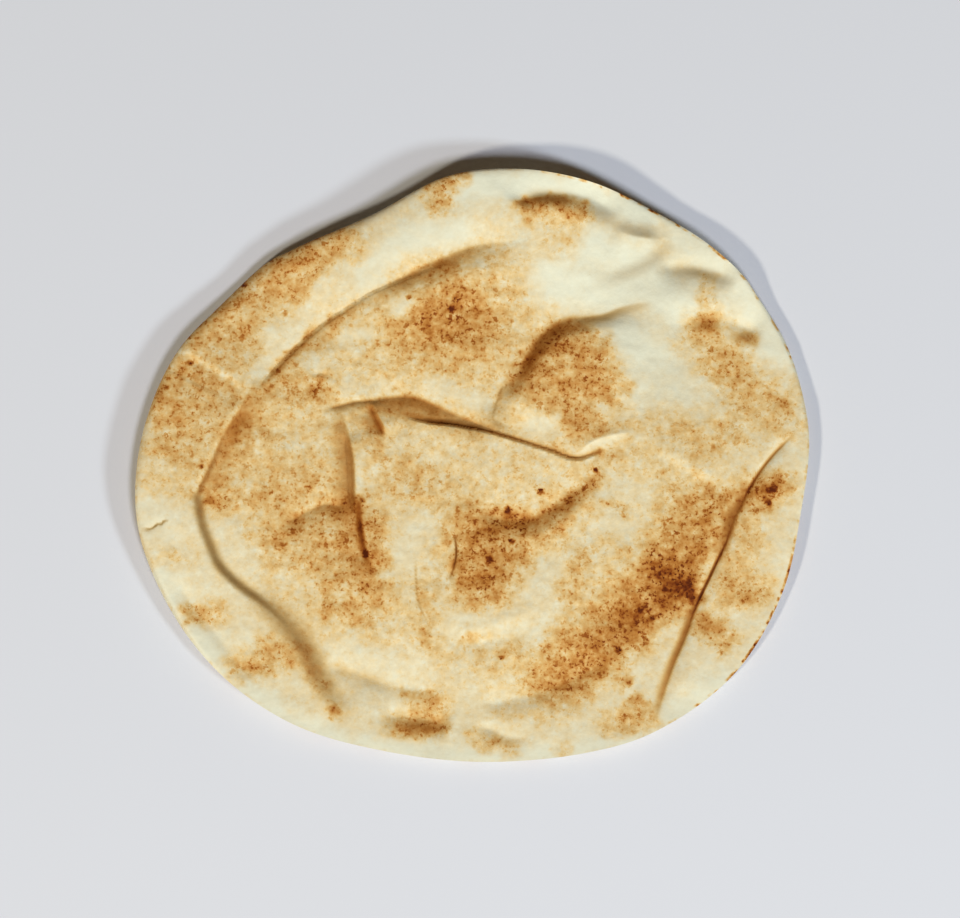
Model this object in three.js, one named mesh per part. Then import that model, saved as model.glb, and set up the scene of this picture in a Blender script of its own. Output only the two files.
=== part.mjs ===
// A whole round pita bread lying open and flat: a puffed rim at the far and left sides, with the
// folds, wrinkles and blisters of the collapsed top skin. The bread is uncut, so it is one solid.
// Millimetres, +Z up. The origin is the middle of the underside, +X runs right, +Y to the far edge.

import * as THREE from "three";

// Thickness, as heights above the table
const CENTRE_HEIGHT = 7.2;
const EDGE_HALF_THICKNESS = 1.8;

// Shares of the radius: where the top starts to rise, where the rim is full, where the base is flat
const RISE_STARTS = 0.45;
const RIM_FULL = 0.85;
const BASE_FLAT = 0.7;
const BASE_ENDS = 0.985;
const LIP_ROUNDNESS = 2.2;

// Heights and widths round the bread, as [degrees from +X, millimetres]
const EDGE_HEIGHT = [
  [0, 5], [20, 3], [36, 6], [52, 5.2], [68, 10.4], [90, 10.4], [106, 9.4], [116, 7.2], [126, 7.2], [138, 2.9],
  [160, 6.2], [187, 7.4], [199, 4.6], [215, 4.4], [245, 3], [270, 2.6], [315, 2.8],
];
const RIM_HEIGHT = [
  [0, 6], [24, 4.7], [40, 7], [52, 6.6], [70, 12], [110, 12], [125, 10.5], [140, 8.6],
  [180, 9.6], [215, 7.6], [245, 4.8], [270, 3.6], [315, 4.2], [340, 5],
];
const LIP_WIDTH = [
  [0, 2], [60, 2.5], [90, 4], [115, 5], [135, 7], [160, 5], [180, 4], [225, 2], [270, 1], [315, 1.5],
];

// Plan of the edge, anticlockwise from the right
const OUTLINE = [
  [115.5, 8], [113.6, 24.2], [107.7, 43.3], [94.6, 62.4], [78.5, 79], [61.3, 89.4], [41, 98.3], [16, 102.8],
  [-8, 100.7], [-34, 87.6], [-62, 75.6], [-71.5, 71], [-88, 55], [-100.5, 41], [-109.5, 23], [-115, 0],
  [-114, -24], [-102, -52], [-85, -73.4], [-62, -89.2], [-36, -97.4], [0, -102.2], [37, -99.5], [62, -92],
  [89.4, -72], [106, -44], [112.5, -16],
];

// Each fold runs along a path. On its left and right the skin is lifted or sunk by a height that dies
// away over a reach. Where the two heights differ, wall is half the width of the change from side to side.
// Fade is the run-out at each end, and grow the strength at the start and end of the path.
const FOLDS = [
  {
    name: "left rim step",
    path: [[-77, 25], [-83.5, 13.5], [-90, -1], [-94.5, -14.5], [-92, -26], [-82, -43.5], [-70.5, -53.5],
      [-61, -66.5], [-48, -84.5]],
    left: [-1.8, 12], right: [1.4, 16], wall: 2, fade: [10, 14], grow: [0.8, 1.2],
  },
  {
    name: "crease inside the far left rim",
    path: [[-74.5, 24], [-65, 35], [-55.5, 46], [-43.5, 55.5], [-31.5, 61], [-20.5, 66], [-7.5, 70.5]],
    left: [-2.8, 10], right: [-1.6, 4], wall: 0.7, fade: [8, 26],
  },
  {
    name: "soft valley that carries on from it",
    path: [[-34, 60], [-20.5, 65.5], [-7.5, 70.5], [11.5, 75], [26, 73]],
    left: [-2.8, 8], right: [-2.8, 5], fade: [20, 20], power: 1.4,
  },
  {
    name: "swell in front of the soft valley",
    path: [[-29.5, 57], [-17.5, 62], [-5.5, 67], [6.5, 70], [20, 68]],
    left: [0.9, 4], right: [0.9, 14], fade: [16, 16], power: 1.6,
  },
  {
    name: "lip of the fold across the middle",
    path: [[-50, 19.5], [-41.5, 21], [-35.5, 20.5], [-28, 17], [-15, 14], [-4.5, 12.5], [10, 9], [24.5, 5],
      [35.5, 1.5], [44.5, 3.5]],
    left: [-0.7, 6], right: [1.5, 14], wall: 0.7, fade: [8, 12],
  },
  {
    name: "valley behind the lip",
    path: [[-45, 21.5], [-27, 24.5], [-17.5, 22], [-6.5, 17.5], [6.5, 13], [23.5, 7]],
    left: [-2.2, 8], right: [-2.2, 5.5], fade: [14, 20], power: 1.2,
  },
  {
    name: "hooked ridge at the lip's right end",
    path: [[35, 4.5], [44, 7.5], [55.5, 10]],
    left: [1.6, 3.5], right: [1.4, 2.2], wall: 0.6, fade: [7, 4],
  },
  {
    name: "flank of the large blister",
    path: [[8.5, 14], [13, 23], [18, 32], [22.5, 39.5], [29, 45.5], [37, 48], [48, 50.5], [59.5, 54]],
    left: [2, 3.6], right: [2.3, 15], wall: 1, fade: [10, 26], power: 1.3,
  },
  {
    name: "crease inside the right rim",
    path: [[111.5, 11.5], [102, 1], [93.5, -10.5], [90, -17.5], [86.5, -29.5], [78, -47.5], [73.5, -60],
      [70, -72.5], [65, -86]],
    left: [1.5, 13], right: [-1.3, 8], wall: 1.5, fade: [14, 7],
  },
  {
    name: "step from the lip to the right crease",
    path: [[57.5, 7], [65.5, 3.5], [73.5, -1], [88.5, -9]],
    left: [0.9, 7], right: [-0.4, 4], wall: 1.8, fade: [8, 8],
  },
  {
    name: "upright crease left of the middle",
    path: [[-44.5, 12], [-43.5, 1.5], [-42.5, -10.5], [-40, -18], [-37.5, -28], [-34.5, -40]],
    left: [1.1, 5], right: [-0.9, 4], wall: 0.7, fade: [6, 10],
  },
  {
    name: "slanting ridge right of the middle",
    path: [[46, -6], [43.5, -13], [40, -18], [33, -28]],
    left: [0.8, 4], right: [0.8, 3], fade: [6, 8],
  },
  {
    name: "groove beside the slanting ridge",
    path: [[43.5, -1], [34.5, -9.5], [27, -16], [22, -22.5]],
    left: [-0.8, 5], right: [-0.8, 5], fade: [8, 10], power: 1.6,
  },
  {
    name: "low ridge near the front",
    path: [[-7.5, -58.5], [9.5, -56.5], [21.5, -51]],
    left: [0.7, 6], right: [0.7, 6], fade: [10, 10], power: 2,
  },
  {
    name: "low valley inside the front rim",
    path: [[-50, -69.5], [-24.5, -76], [4.5, -80.5]],
    left: [-0.8, 7], right: [-0.8, 7], fade: [14, 14], power: 2,
  },
  {
    name: "valley below the far right rim",
    path: [[44, 87], [52.5, 83], [65, 79.5]],
    left: [-1, 4], right: [-1, 5], fade: [8, 6], power: 1.6,
  },
  {
    name: "far right wrinkle",
    path: [[40, 60.5], [52.5, 65], [61, 70], [68, 77]],
    left: [-0.8, 5], right: [-0.8, 4], fade: [10, 8], power: 1.4,
  },
  {
    name: "far right wrinkle to the edge",
    path: [[63, 69], [76.5, 67.5], [85, 65.5], [92.5, 61]],
    left: [-1, 4], right: [-1, 5], fade: [10, 8], power: 1.4,
  },
  {
    name: "crease across the left rim",
    path: [[-100.5, 39.5], [-86, 30.5], [-77.5, 25]],
    left: [-0.9, 5], right: [-0.6, 3], wall: 0.8, fade: [5, 5],
  },
];

// Rounded blisters and dents: centre, half sizes, turn in degrees and height
const MOUNDS = [
  { name: "large blister", centre: [35.5, 31], size: [18, 20], turn: 0, height: 0.8 },
  { name: "blister on the far rim", centre: [27.5, 89], size: [10, 5], turn: -8, height: 1.6 },
  { name: "dent by the right edge", centre: [95, 46.5], size: [6, 4], turn: -20, height: -1 },
];

// Rings of the mesh, top and underside: ring k holds six times k points
const TOP_RINGS = 34;
const BASE_RINGS = TOP_RINGS / 2;
const RING_CROWDING = 0.35;

// The top's points are drawn towards the crest and foot of a fold's wall within this distance
const DRAW_REACH = 6;
const DRAW_POWER = 1.6;
const DRAW_ENDS = 0.85;

const PATH_STEP = 1;
const OUTLINE_STEPS = 720;

const ease = (t) => THREE.MathUtils.smoothstep(t, 0, 1);

function smoothCurve(points, closed) {
  const corners = points.map(([x, y]) => new THREE.Vector3(x, y, 0));
  return new THREE.CatmullRomCurve3(corners, closed);
}

// The value at an angle in degrees, eased between the neighbouring pairs
function around(pairs, degrees) {
  const last = pairs.length - 1;
  let low = pairs[last];
  let high = [pairs[0][0] + 360, pairs[0][1]];
  for (let i = 0; i < last; i++) {
    if (degrees >= pairs[i][0] && degrees < pairs[i + 1][0]) {
      low = pairs[i];
      high = pairs[i + 1];
    }
  }
  return low[1] + (high[1] - low[1]) * ease((degrees - low[0]) / (high[0] - low[0]));
}

function degreesOf(x, y) {
  return (THREE.MathUtils.radToDeg(Math.atan2(y, x)) + 360) % 360;
}

const edgePoints = smoothCurve(OUTLINE, true)
  .getPoints(OUTLINE_STEPS)
  .slice(0, OUTLINE_STEPS)
  .map((p) => ({ degrees: degreesOf(p.x, p.y), radius: Math.hypot(p.x, p.y) }))
  .sort((a, b) => a.degrees - b.degrees);

// Distance from the middle to the edge at an angle in degrees
function edgeRadius(degrees) {
  const found = edgePoints.findIndex((p) => p.degrees > degrees);
  const next = found < 0 ? 0 : found;
  const a = edgePoints[(next + OUTLINE_STEPS - 1) % OUTLINE_STEPS];
  const b = edgePoints[next];
  const gap = (b.degrees - a.degrees + 360) % 360;
  const share = ((degrees - a.degrees + 360) % 360) / gap;
  return a.radius + (b.radius - a.radius) * share;
}

for (const fold of FOLDS) {
  const curve = smoothCurve(fold.path, false);
  fold.length = curve.getLength();
  fold.track = curve.getSpacedPoints(Math.ceil(fold.length / PATH_STEP));
}

// The distance of a plan point to the left of a fold's path, how far along it lies, and the way left
function beside(fold, x, y) {
  const { track, length } = fold;
  const stepLength = length / (track.length - 1);
  let nearest = { distance: Infinity };
  for (let i = 0; i < track.length - 1; i++) {
    const a = track[i];
    const ux = (track[i + 1].x - a.x) / stepLength;
    const uy = (track[i + 1].y - a.y) / stepLength;
    const run = THREE.MathUtils.clamp((x - a.x) * ux + (y - a.y) * uy, 0, stepLength);
    const distance = Math.hypot(x - a.x - run * ux, y - a.y - run * uy);
    if (distance < nearest.distance) {
      const leftwards = ux * (y - a.y) - uy * (x - a.x);
      nearest = { distance, offset: leftwards < 0 ? -distance : distance, run: i * stepLength + run, ux, uy };
    }
  }
  return nearest;
}

function fadeAlong(fold, run) {
  return ease(run / fold.fade[0]) * ease((fold.length - run) / fold.fade[1]);
}

function foldHeight(fold, x, y) {
  const { distance, offset, run } = beside(fold, x, y);
  const leftShare = fold.wall ? ease(0.5 + (0.5 * offset) / fold.wall) : offset < 0 ? 0 : 1;
  const dying = ([height, reach]) => height * Math.exp(-((distance / reach) ** (fold.power ?? 1)));
  const strength = fold.grow ? THREE.MathUtils.lerp(...fold.grow, run / fold.length) : 1;
  const height = leftShare * dying(fold.left) + (1 - leftShare) * dying(fold.right);
  return strength * fadeAlong(fold, run) * height;
}

function moundHeight({ centre, size, turn, height }, x, y) {
  const angle = THREE.MathUtils.degToRad(turn);
  const dx = x - centre[0];
  const dy = y - centre[1];
  const u = (dx * Math.cos(angle) + dy * Math.sin(angle)) / size[0];
  const v = (dy * Math.cos(angle) - dx * Math.sin(angle)) / size[1];
  return height * Math.exp(-u * u - v * v);
}

// Moves a plan point near a fold to the crest or foot of its wall, so that the wall stays clean
function drawnTowardsFolds(x, y) {
  const degrees = degreesOf(x, y);
  const share = Math.hypot(x, y) / edgeRadius(degrees);
  const hold = 1 - ease((share - DRAW_ENDS) / (BASE_ENDS - DRAW_ENDS));
  for (const fold of FOLDS) {
    if (!fold.wall) continue;
    const { distance, offset, run, ux, uy } = beside(fold, x, y);
    if (distance >= DRAW_REACH) continue;
    const beyondWall = (DRAW_REACH - fold.wall) * (distance / DRAW_REACH) ** DRAW_POWER;
    const move = (fold.wall + beyondWall - distance) * Math.sign(offset) * fadeAlong(fold, run) * hold;
    x -= uy * move;
    y += ux * move;
  }
  return [x, y];
}

function topHeight(x, y) {
  const degrees = degreesOf(x, y);
  const radius = edgeRadius(degrees);
  const share = Math.min(Math.hypot(x, y) / radius, 1);
  const rise = ease((share - RISE_STARTS) / (RIM_FULL - RISE_STARTS));
  let skin = CENTRE_HEIGHT + (around(RIM_HEIGHT, degrees) - CENTRE_HEIGHT) * rise;
  for (const fold of FOLDS) skin += foldHeight(fold, x, y);
  for (const mound of MOUNDS) skin += moundHeight(mound, x, y);
  const edge = around(EDGE_HEIGHT, degrees);
  const outwards = Math.max(1 - (radius * (1 - share)) / around(LIP_WIDTH, degrees), 0);
  return edge + (skin - edge) * Math.sqrt(1 - Math.min(outwards, 1) ** LIP_ROUNDNESS);
}

function baseHeight(degrees, share) {
  const lift = around(EDGE_HEIGHT, degrees) - EDGE_HALF_THICKNESS;
  return lift * ease((share - BASE_FLAT) / (BASE_ENDS - BASE_FLAT));
}

// Lays out rings of points round the middle and calls back with each point's angle and share of the radius
function layRings(rings, shareOfRing, place) {
  place(0, 0);
  for (let ring = 1; ring <= rings; ring++) {
    for (let i = 0; i < 6 * ring; i++) place((60 * i) / ring, shareOfRing(ring / rings));
  }
}

const ringStart = (ring) => (ring === 0 ? 0 : 1 + 3 * ring * (ring - 1));

// Triangles between the rings, anticlockwise seen from above
function ringTriangles(rings, addTriangle) {
  for (let ring = 1; ring <= rings; ring++) {
    const outer = (i) => ringStart(ring) + (i % (6 * ring));
    const inner = (i) => ringStart(ring - 1) + (ring === 1 ? 0 : i % (6 * (ring - 1)));
    for (let sector = 0; sector < 6; sector++) {
      for (let i = 0; i < ring; i++) {
        const out = sector * ring + i;
        const inn = sector * (ring - 1) + i;
        addTriangle(inner(inn), outer(out), outer(out + 1));
        if (i < ring - 1) addTriangle(inner(inn), outer(out + 1), inner(inn + 1));
      }
    }
  }
}

function breadGeometry() {
  const positions = [];
  const triangles = [];
  const crowded = (t) => t * (1 + RING_CROWDING * (1 - t));
  layRings(TOP_RINGS, crowded, (degrees, share) => {
    const angle = THREE.MathUtils.degToRad(degrees);
    const reach = share * edgeRadius(degrees);
    const [x, y] = drawnTowardsFolds(reach * Math.cos(angle), reach * Math.sin(angle));
    positions.push(x, y, topHeight(x, y));
  });
  ringTriangles(TOP_RINGS, (a, b, c) => triangles.push(a, b, c));

  const baseStart = positions.length / 3;
  layRings(BASE_RINGS, (t) => BASE_ENDS * t, (degrees, share) => {
    const angle = THREE.MathUtils.degToRad(degrees);
    const reach = share * edgeRadius(degrees);
    positions.push(reach * Math.cos(angle), reach * Math.sin(angle), baseHeight(degrees, share));
  });
  ringTriangles(BASE_RINGS, (a, b, c) => triangles.push(baseStart + a, baseStart + c, baseStart + b));

  // The sealed edge: each step of the underside's last ring meets two steps of the top's
  const baseCount = 6 * BASE_RINGS;
  for (let i = 0; i < baseCount; i++) {
    const base = baseStart + ringStart(BASE_RINGS) + i;
    const baseNext = baseStart + ringStart(BASE_RINGS) + ((i + 1) % baseCount);
    const edge = ringStart(TOP_RINGS) + 2 * i;
    const edgeNext = ringStart(TOP_RINGS) + ((2 * i + 2) % (2 * baseCount));
    triangles.push(base, edge + 1, edge);
    triangles.push(base, baseNext, edge + 1);
    triangles.push(baseNext, edgeNext, edge + 1);
  }

  const geometry = new THREE.BufferGeometry();
  geometry.setAttribute("position", new THREE.Float32BufferAttribute(positions, 3));
  geometry.setIndex(triangles);
  geometry.computeBoundingBox();
  const middle = geometry.boundingBox.getCenter(new THREE.Vector3());
  geometry.translate(-middle.x, -middle.y, 0);
  geometry.computeVertexNormals();
  return geometry;
}

const crust = new THREE.MeshStandardMaterial({ color: 0xdcc08a, roughness: 0.8, metalness: 0 });
const bread = new THREE.Mesh(breadGeometry(), crust);
bread.name = "pita_bread";

const pita = new THREE.Group();
pita.add(bread);

export default pita;
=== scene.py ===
"""A whole round pita bread lying open: a fine skin with folds, toast marks and freckles over its solid."""

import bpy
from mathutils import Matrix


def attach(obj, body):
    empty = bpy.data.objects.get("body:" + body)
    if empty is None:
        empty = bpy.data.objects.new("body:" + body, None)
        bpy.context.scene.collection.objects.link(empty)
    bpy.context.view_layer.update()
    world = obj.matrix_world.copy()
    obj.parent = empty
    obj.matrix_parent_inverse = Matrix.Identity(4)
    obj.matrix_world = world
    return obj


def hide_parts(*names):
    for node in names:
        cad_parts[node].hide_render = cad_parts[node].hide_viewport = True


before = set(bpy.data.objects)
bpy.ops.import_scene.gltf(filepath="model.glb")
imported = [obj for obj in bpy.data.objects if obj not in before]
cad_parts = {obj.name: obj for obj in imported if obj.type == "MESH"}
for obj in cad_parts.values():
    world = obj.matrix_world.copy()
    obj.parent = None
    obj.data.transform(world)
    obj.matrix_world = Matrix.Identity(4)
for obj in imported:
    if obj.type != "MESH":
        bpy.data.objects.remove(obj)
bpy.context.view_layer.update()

import math
from typing import NamedTuple

import bpy
import numpy as np
from bpy.props import FloatProperty, FloatVectorProperty, IntProperty, PointerProperty
from bpy.types import Operator, Panel, PropertyGroup
from mathutils import Vector

bl_info = {
    "name": "Pita bread",
    "version": (1, 0, 0),
    "blender": (4, 5, 0),
    "location": "3D View > Sidebar > Pita",
    "description": "Bakes a round pita bread with folds, toast marks and freckles",
    "category": "Add Mesh",
}

# Shapes are given in millimetres, colours as they look on a screen, from 0 to 255
MM = 0.001

# Thickness, as heights above the table
CENTRE_HEIGHT = 7.2
EDGE_HALF_THICKNESS = 1.8

# Shares of the radius: where the top rises, its rim begins and is full, the base curves up and ends
RISE_STARTS = 0.45
RIM_STARTS = 0.6
RIM_FULL = 0.85
BASE_FLAT = 0.7
BASE_ENDS = 0.985

# Heights and widths round the bread, as (degrees from +X, millimetres)
EDGE_HEIGHT = [
    (0, 5), (8, 4.4), (20, 2.9), (28, 3.6), (36, 7.2), (44, 7.4), (52, 6.2), (60, 8.6), (68, 11),
    (76, 11.6), (90, 10.6), (102, 9.8), (108, 9), (114, 7.4), (126, 7.2), (132, 4), (138, 2), (144, 3),
    (150, 5), (160, 7), (180, 7.6), (187, 9), (193, 7), (199, 5), (210, 5.2), (225, 5), (245, 4.4),
    (270, 3.8), (315, 4), (340, 4.5),
]
RIM_HEIGHT = [
    (0, 6), (20, 4.6), (28, 4.8), (36, 7.8), (52, 7), (60, 9.4), (72, 12.2), (90, 12), (110, 12),
    (125, 10.2), (140, 7.8), (150, 8.4), (180, 9.6), (215, 7.6), (245, 5.2), (270, 4.3), (315, 4.6),
    (340, 5.2),
]
LIP_WIDTH = [
    (0, 1.6), (30, 2), (60, 2.5), (90, 4), (115, 5), (135, 7), (160, 5), (180, 4), (205, 2), (225, 1),
    (250, 0.5), (290, 0.4), (315, 0.6), (340, 1.2),
]

# Degrees over which they are rounded off
ROUNDED_OVER = 13

# A lip as narrow as the first is flat to its end, one as wide as the second comes down to the edge
THIN_LIP = 1.0
ROUND_LIP = 2.0

# The higher, the squarer a round lip
LIP_SQUARENESS = 2.2

# Smooth chance fields, each a sum of waves given as (wavelength, seed, weight)
BROAD_WAVES = [(26, 11, 1), (11, 12, 0.4)]
PIMPLE_WAVES = [(5.5, 13, 1), (2.6, 14, 0.4)]
WANDER_X = [(9, 21, 0.7), (3.6, 22, 0.35)]
WANDER_Y = [(9, 23, 0.7), (3.6, 24, 0.35)]
EDGE_DOT_WAVES = [(8, 25, 0.45), (2.4, 26, 0.4)]
BASE_TOAST_WAVES = [(30, 31, 0.45), (12, 32, 0.3)]
WAVE_COUNT = 56
WAVE_SPREAD = (0.7, 1.6)

# Share of the pimples' height that the rim is without
PIMPLES_LOST = 0.5

# Plan of the edge, anticlockwise from the right
OUTLINE = [
    (115.5, 8), (113.6, 24.2), (107.7, 43.3), (97.4, 60.2), (92.6, 66.8), (78.5, 79.2), (61.3, 89.4),
    (41, 98.3), (16, 102.8), (-8, 100.7), (-34, 87.6), (-62, 75.6), (-71.5, 71), (-88, 55), (-100.5, 41),
    (-109.5, 23), (-115, 0), (-114, -24), (-102, -52), (-85, -73.4), (-62, -89.2), (-36, -97.4),
    (0, -102.2), (37, -99.5), (62, -92), (89.4, -72), (106, -44), (112.5, -16),
]

# Lines that both a fold and the browning and painted shade in its shelter follow
LIP_LINE = [
    (-25, 17.5), (-15.9, 14.7), (-6, 13.6), (2.9, 12), (14, 8.8), (25, 5.2), (35.7, 1.9), (43.6, 4.3),
]
LIP_LEFT_LINE = [(-52, 19), (-45, 20.9), (-40.5, 22), (-35.7, 22.5), (-30, 23)]
BEHIND_LIP_LINE = [
    (-37, 22), (-29.6, 23.4), (-22.7, 23.8), (-17.6, 22.7), (-11.8, 20.3), (-6.7, 17.9), (-0.5, 15.4),
    (10, 12),
]
SPUR_LINE = [(-35.5, 22), (-34.5, 20.4), (-32.6, 16.4), (-31, 13.1), (-30.5, 9.5)]
BLISTER_LINE = [
    (6.8, 16.4), (8, 21), (10.2, 26.4), (14.6, 29.6), (17.6, 34.5), (20.8, 40.2), (24.6, 45.6),
    (28.4, 48.6), (32.9, 50.6), (39, 51.3), (45, 52.1), (51.1, 54.4), (57.1, 55.7), (63, 56),
]
RIGHT_LINE = [
    (111, 11.5), (105, 6), (100, 0), (96, -6), (91.5, -14), (89.5, -18), (87, -26), (82.8, -35), (79, -43),
    (75.4, -51), (72.2, -59.7), (69, -67.1), (66, -75.2), (63.8, -82.1), (62.5, -87),
]
PANEL_LINE = [(-66, -22), (-61, -18.5), (-55.9, -15.8), (-50.8, -13.7), (-42.9, -14.4)]
FAR_LEFT_LINE = [
    (-75, 25), (-67, 34), (-61.5, 40), (-52, 48.5), (-43, 54.5), (-35, 59.5), (-20, 66), (-5, 71.5),
]
LEFT_LINE = [
    (-77.3, 24), (-79.2, 19.4), (-83.8, 12.2), (-87, 5.6), (-90.3, -2.4), (-92.9, -7.6), (-94.2, -11.6),
]
LOWER_LEFT_LINE = [
    (-94.2, -11.6), (-92.9, -19.5), (-89.6, -28.7), (-86.4, -35.3), (-79.9, -41.9), (-70.8, -48.5),
    (-62.9, -56.4), (-57.7, -63), (-51.2, -74.9), (-43.4, -86.8),
]
MIDDLE_LINE = [(0, -15), (10, -18.5), (20, -18.5), (26, -16), (33, -10.5), (40, -5)]
FAR_RIGHT_LINE = [(49, 83), (52.5, 81.2), (56, 80.2), (60, 79.7), (64.5, 79.5)]
FAR_WRINKLE_LINE = [(40.5, 62.3), (51.1, 66.1), (60, 70.3), (67.2, 75.5)]
EDGE_WRINKLE_LINE = [(62, 68.5), (73.7, 68.5), (83.6, 66.4), (91, 62.8)]
LEFT_CRACK_LINE = [
    (-113, -22.8), (-110.4, -22.7), (-108.9, -21.9), (-107.8, -21), (-106.5, -21.1), (-105.6, -20),
    (-104.3, -19.9),
]
MIDDLE_CRACK_LINE = [(-6.3, -22.5), (-5.6, -31.4), (-7.8, -40)]


class Fold(NamedTuple):
    """A crease along a path. On its left and right the skin is lifted or sunk by a height that dies away
    over a reach: from a sharp line with a power of 1, from a rounded one with 2. Where the two differ, wall
    is half the width of the change from side to side. Fade is the run-out at each end, and grow the strength
    at even steps along the path."""

    path: list
    left: tuple
    right: tuple
    fade: tuple
    wall: float = 0.0
    power: float = 1.0
    grow: tuple = (1.0, 1.0)


def ridge(path, height, left, right, fade, power=1.5, grow=(1.0, 1.0)):
    """A fold that only rises: its height, and its reach on the left and on the right of the path."""
    return Fold(path, (height, left), (height, right), fade, power=power, grow=grow)


def valley(path, depth, left, right, fade, power=1.5, grow=(1.0, 1.0)):
    """A fold that only sinks."""
    return ridge(path, -depth, left, right, fade, power, grow)


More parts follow.
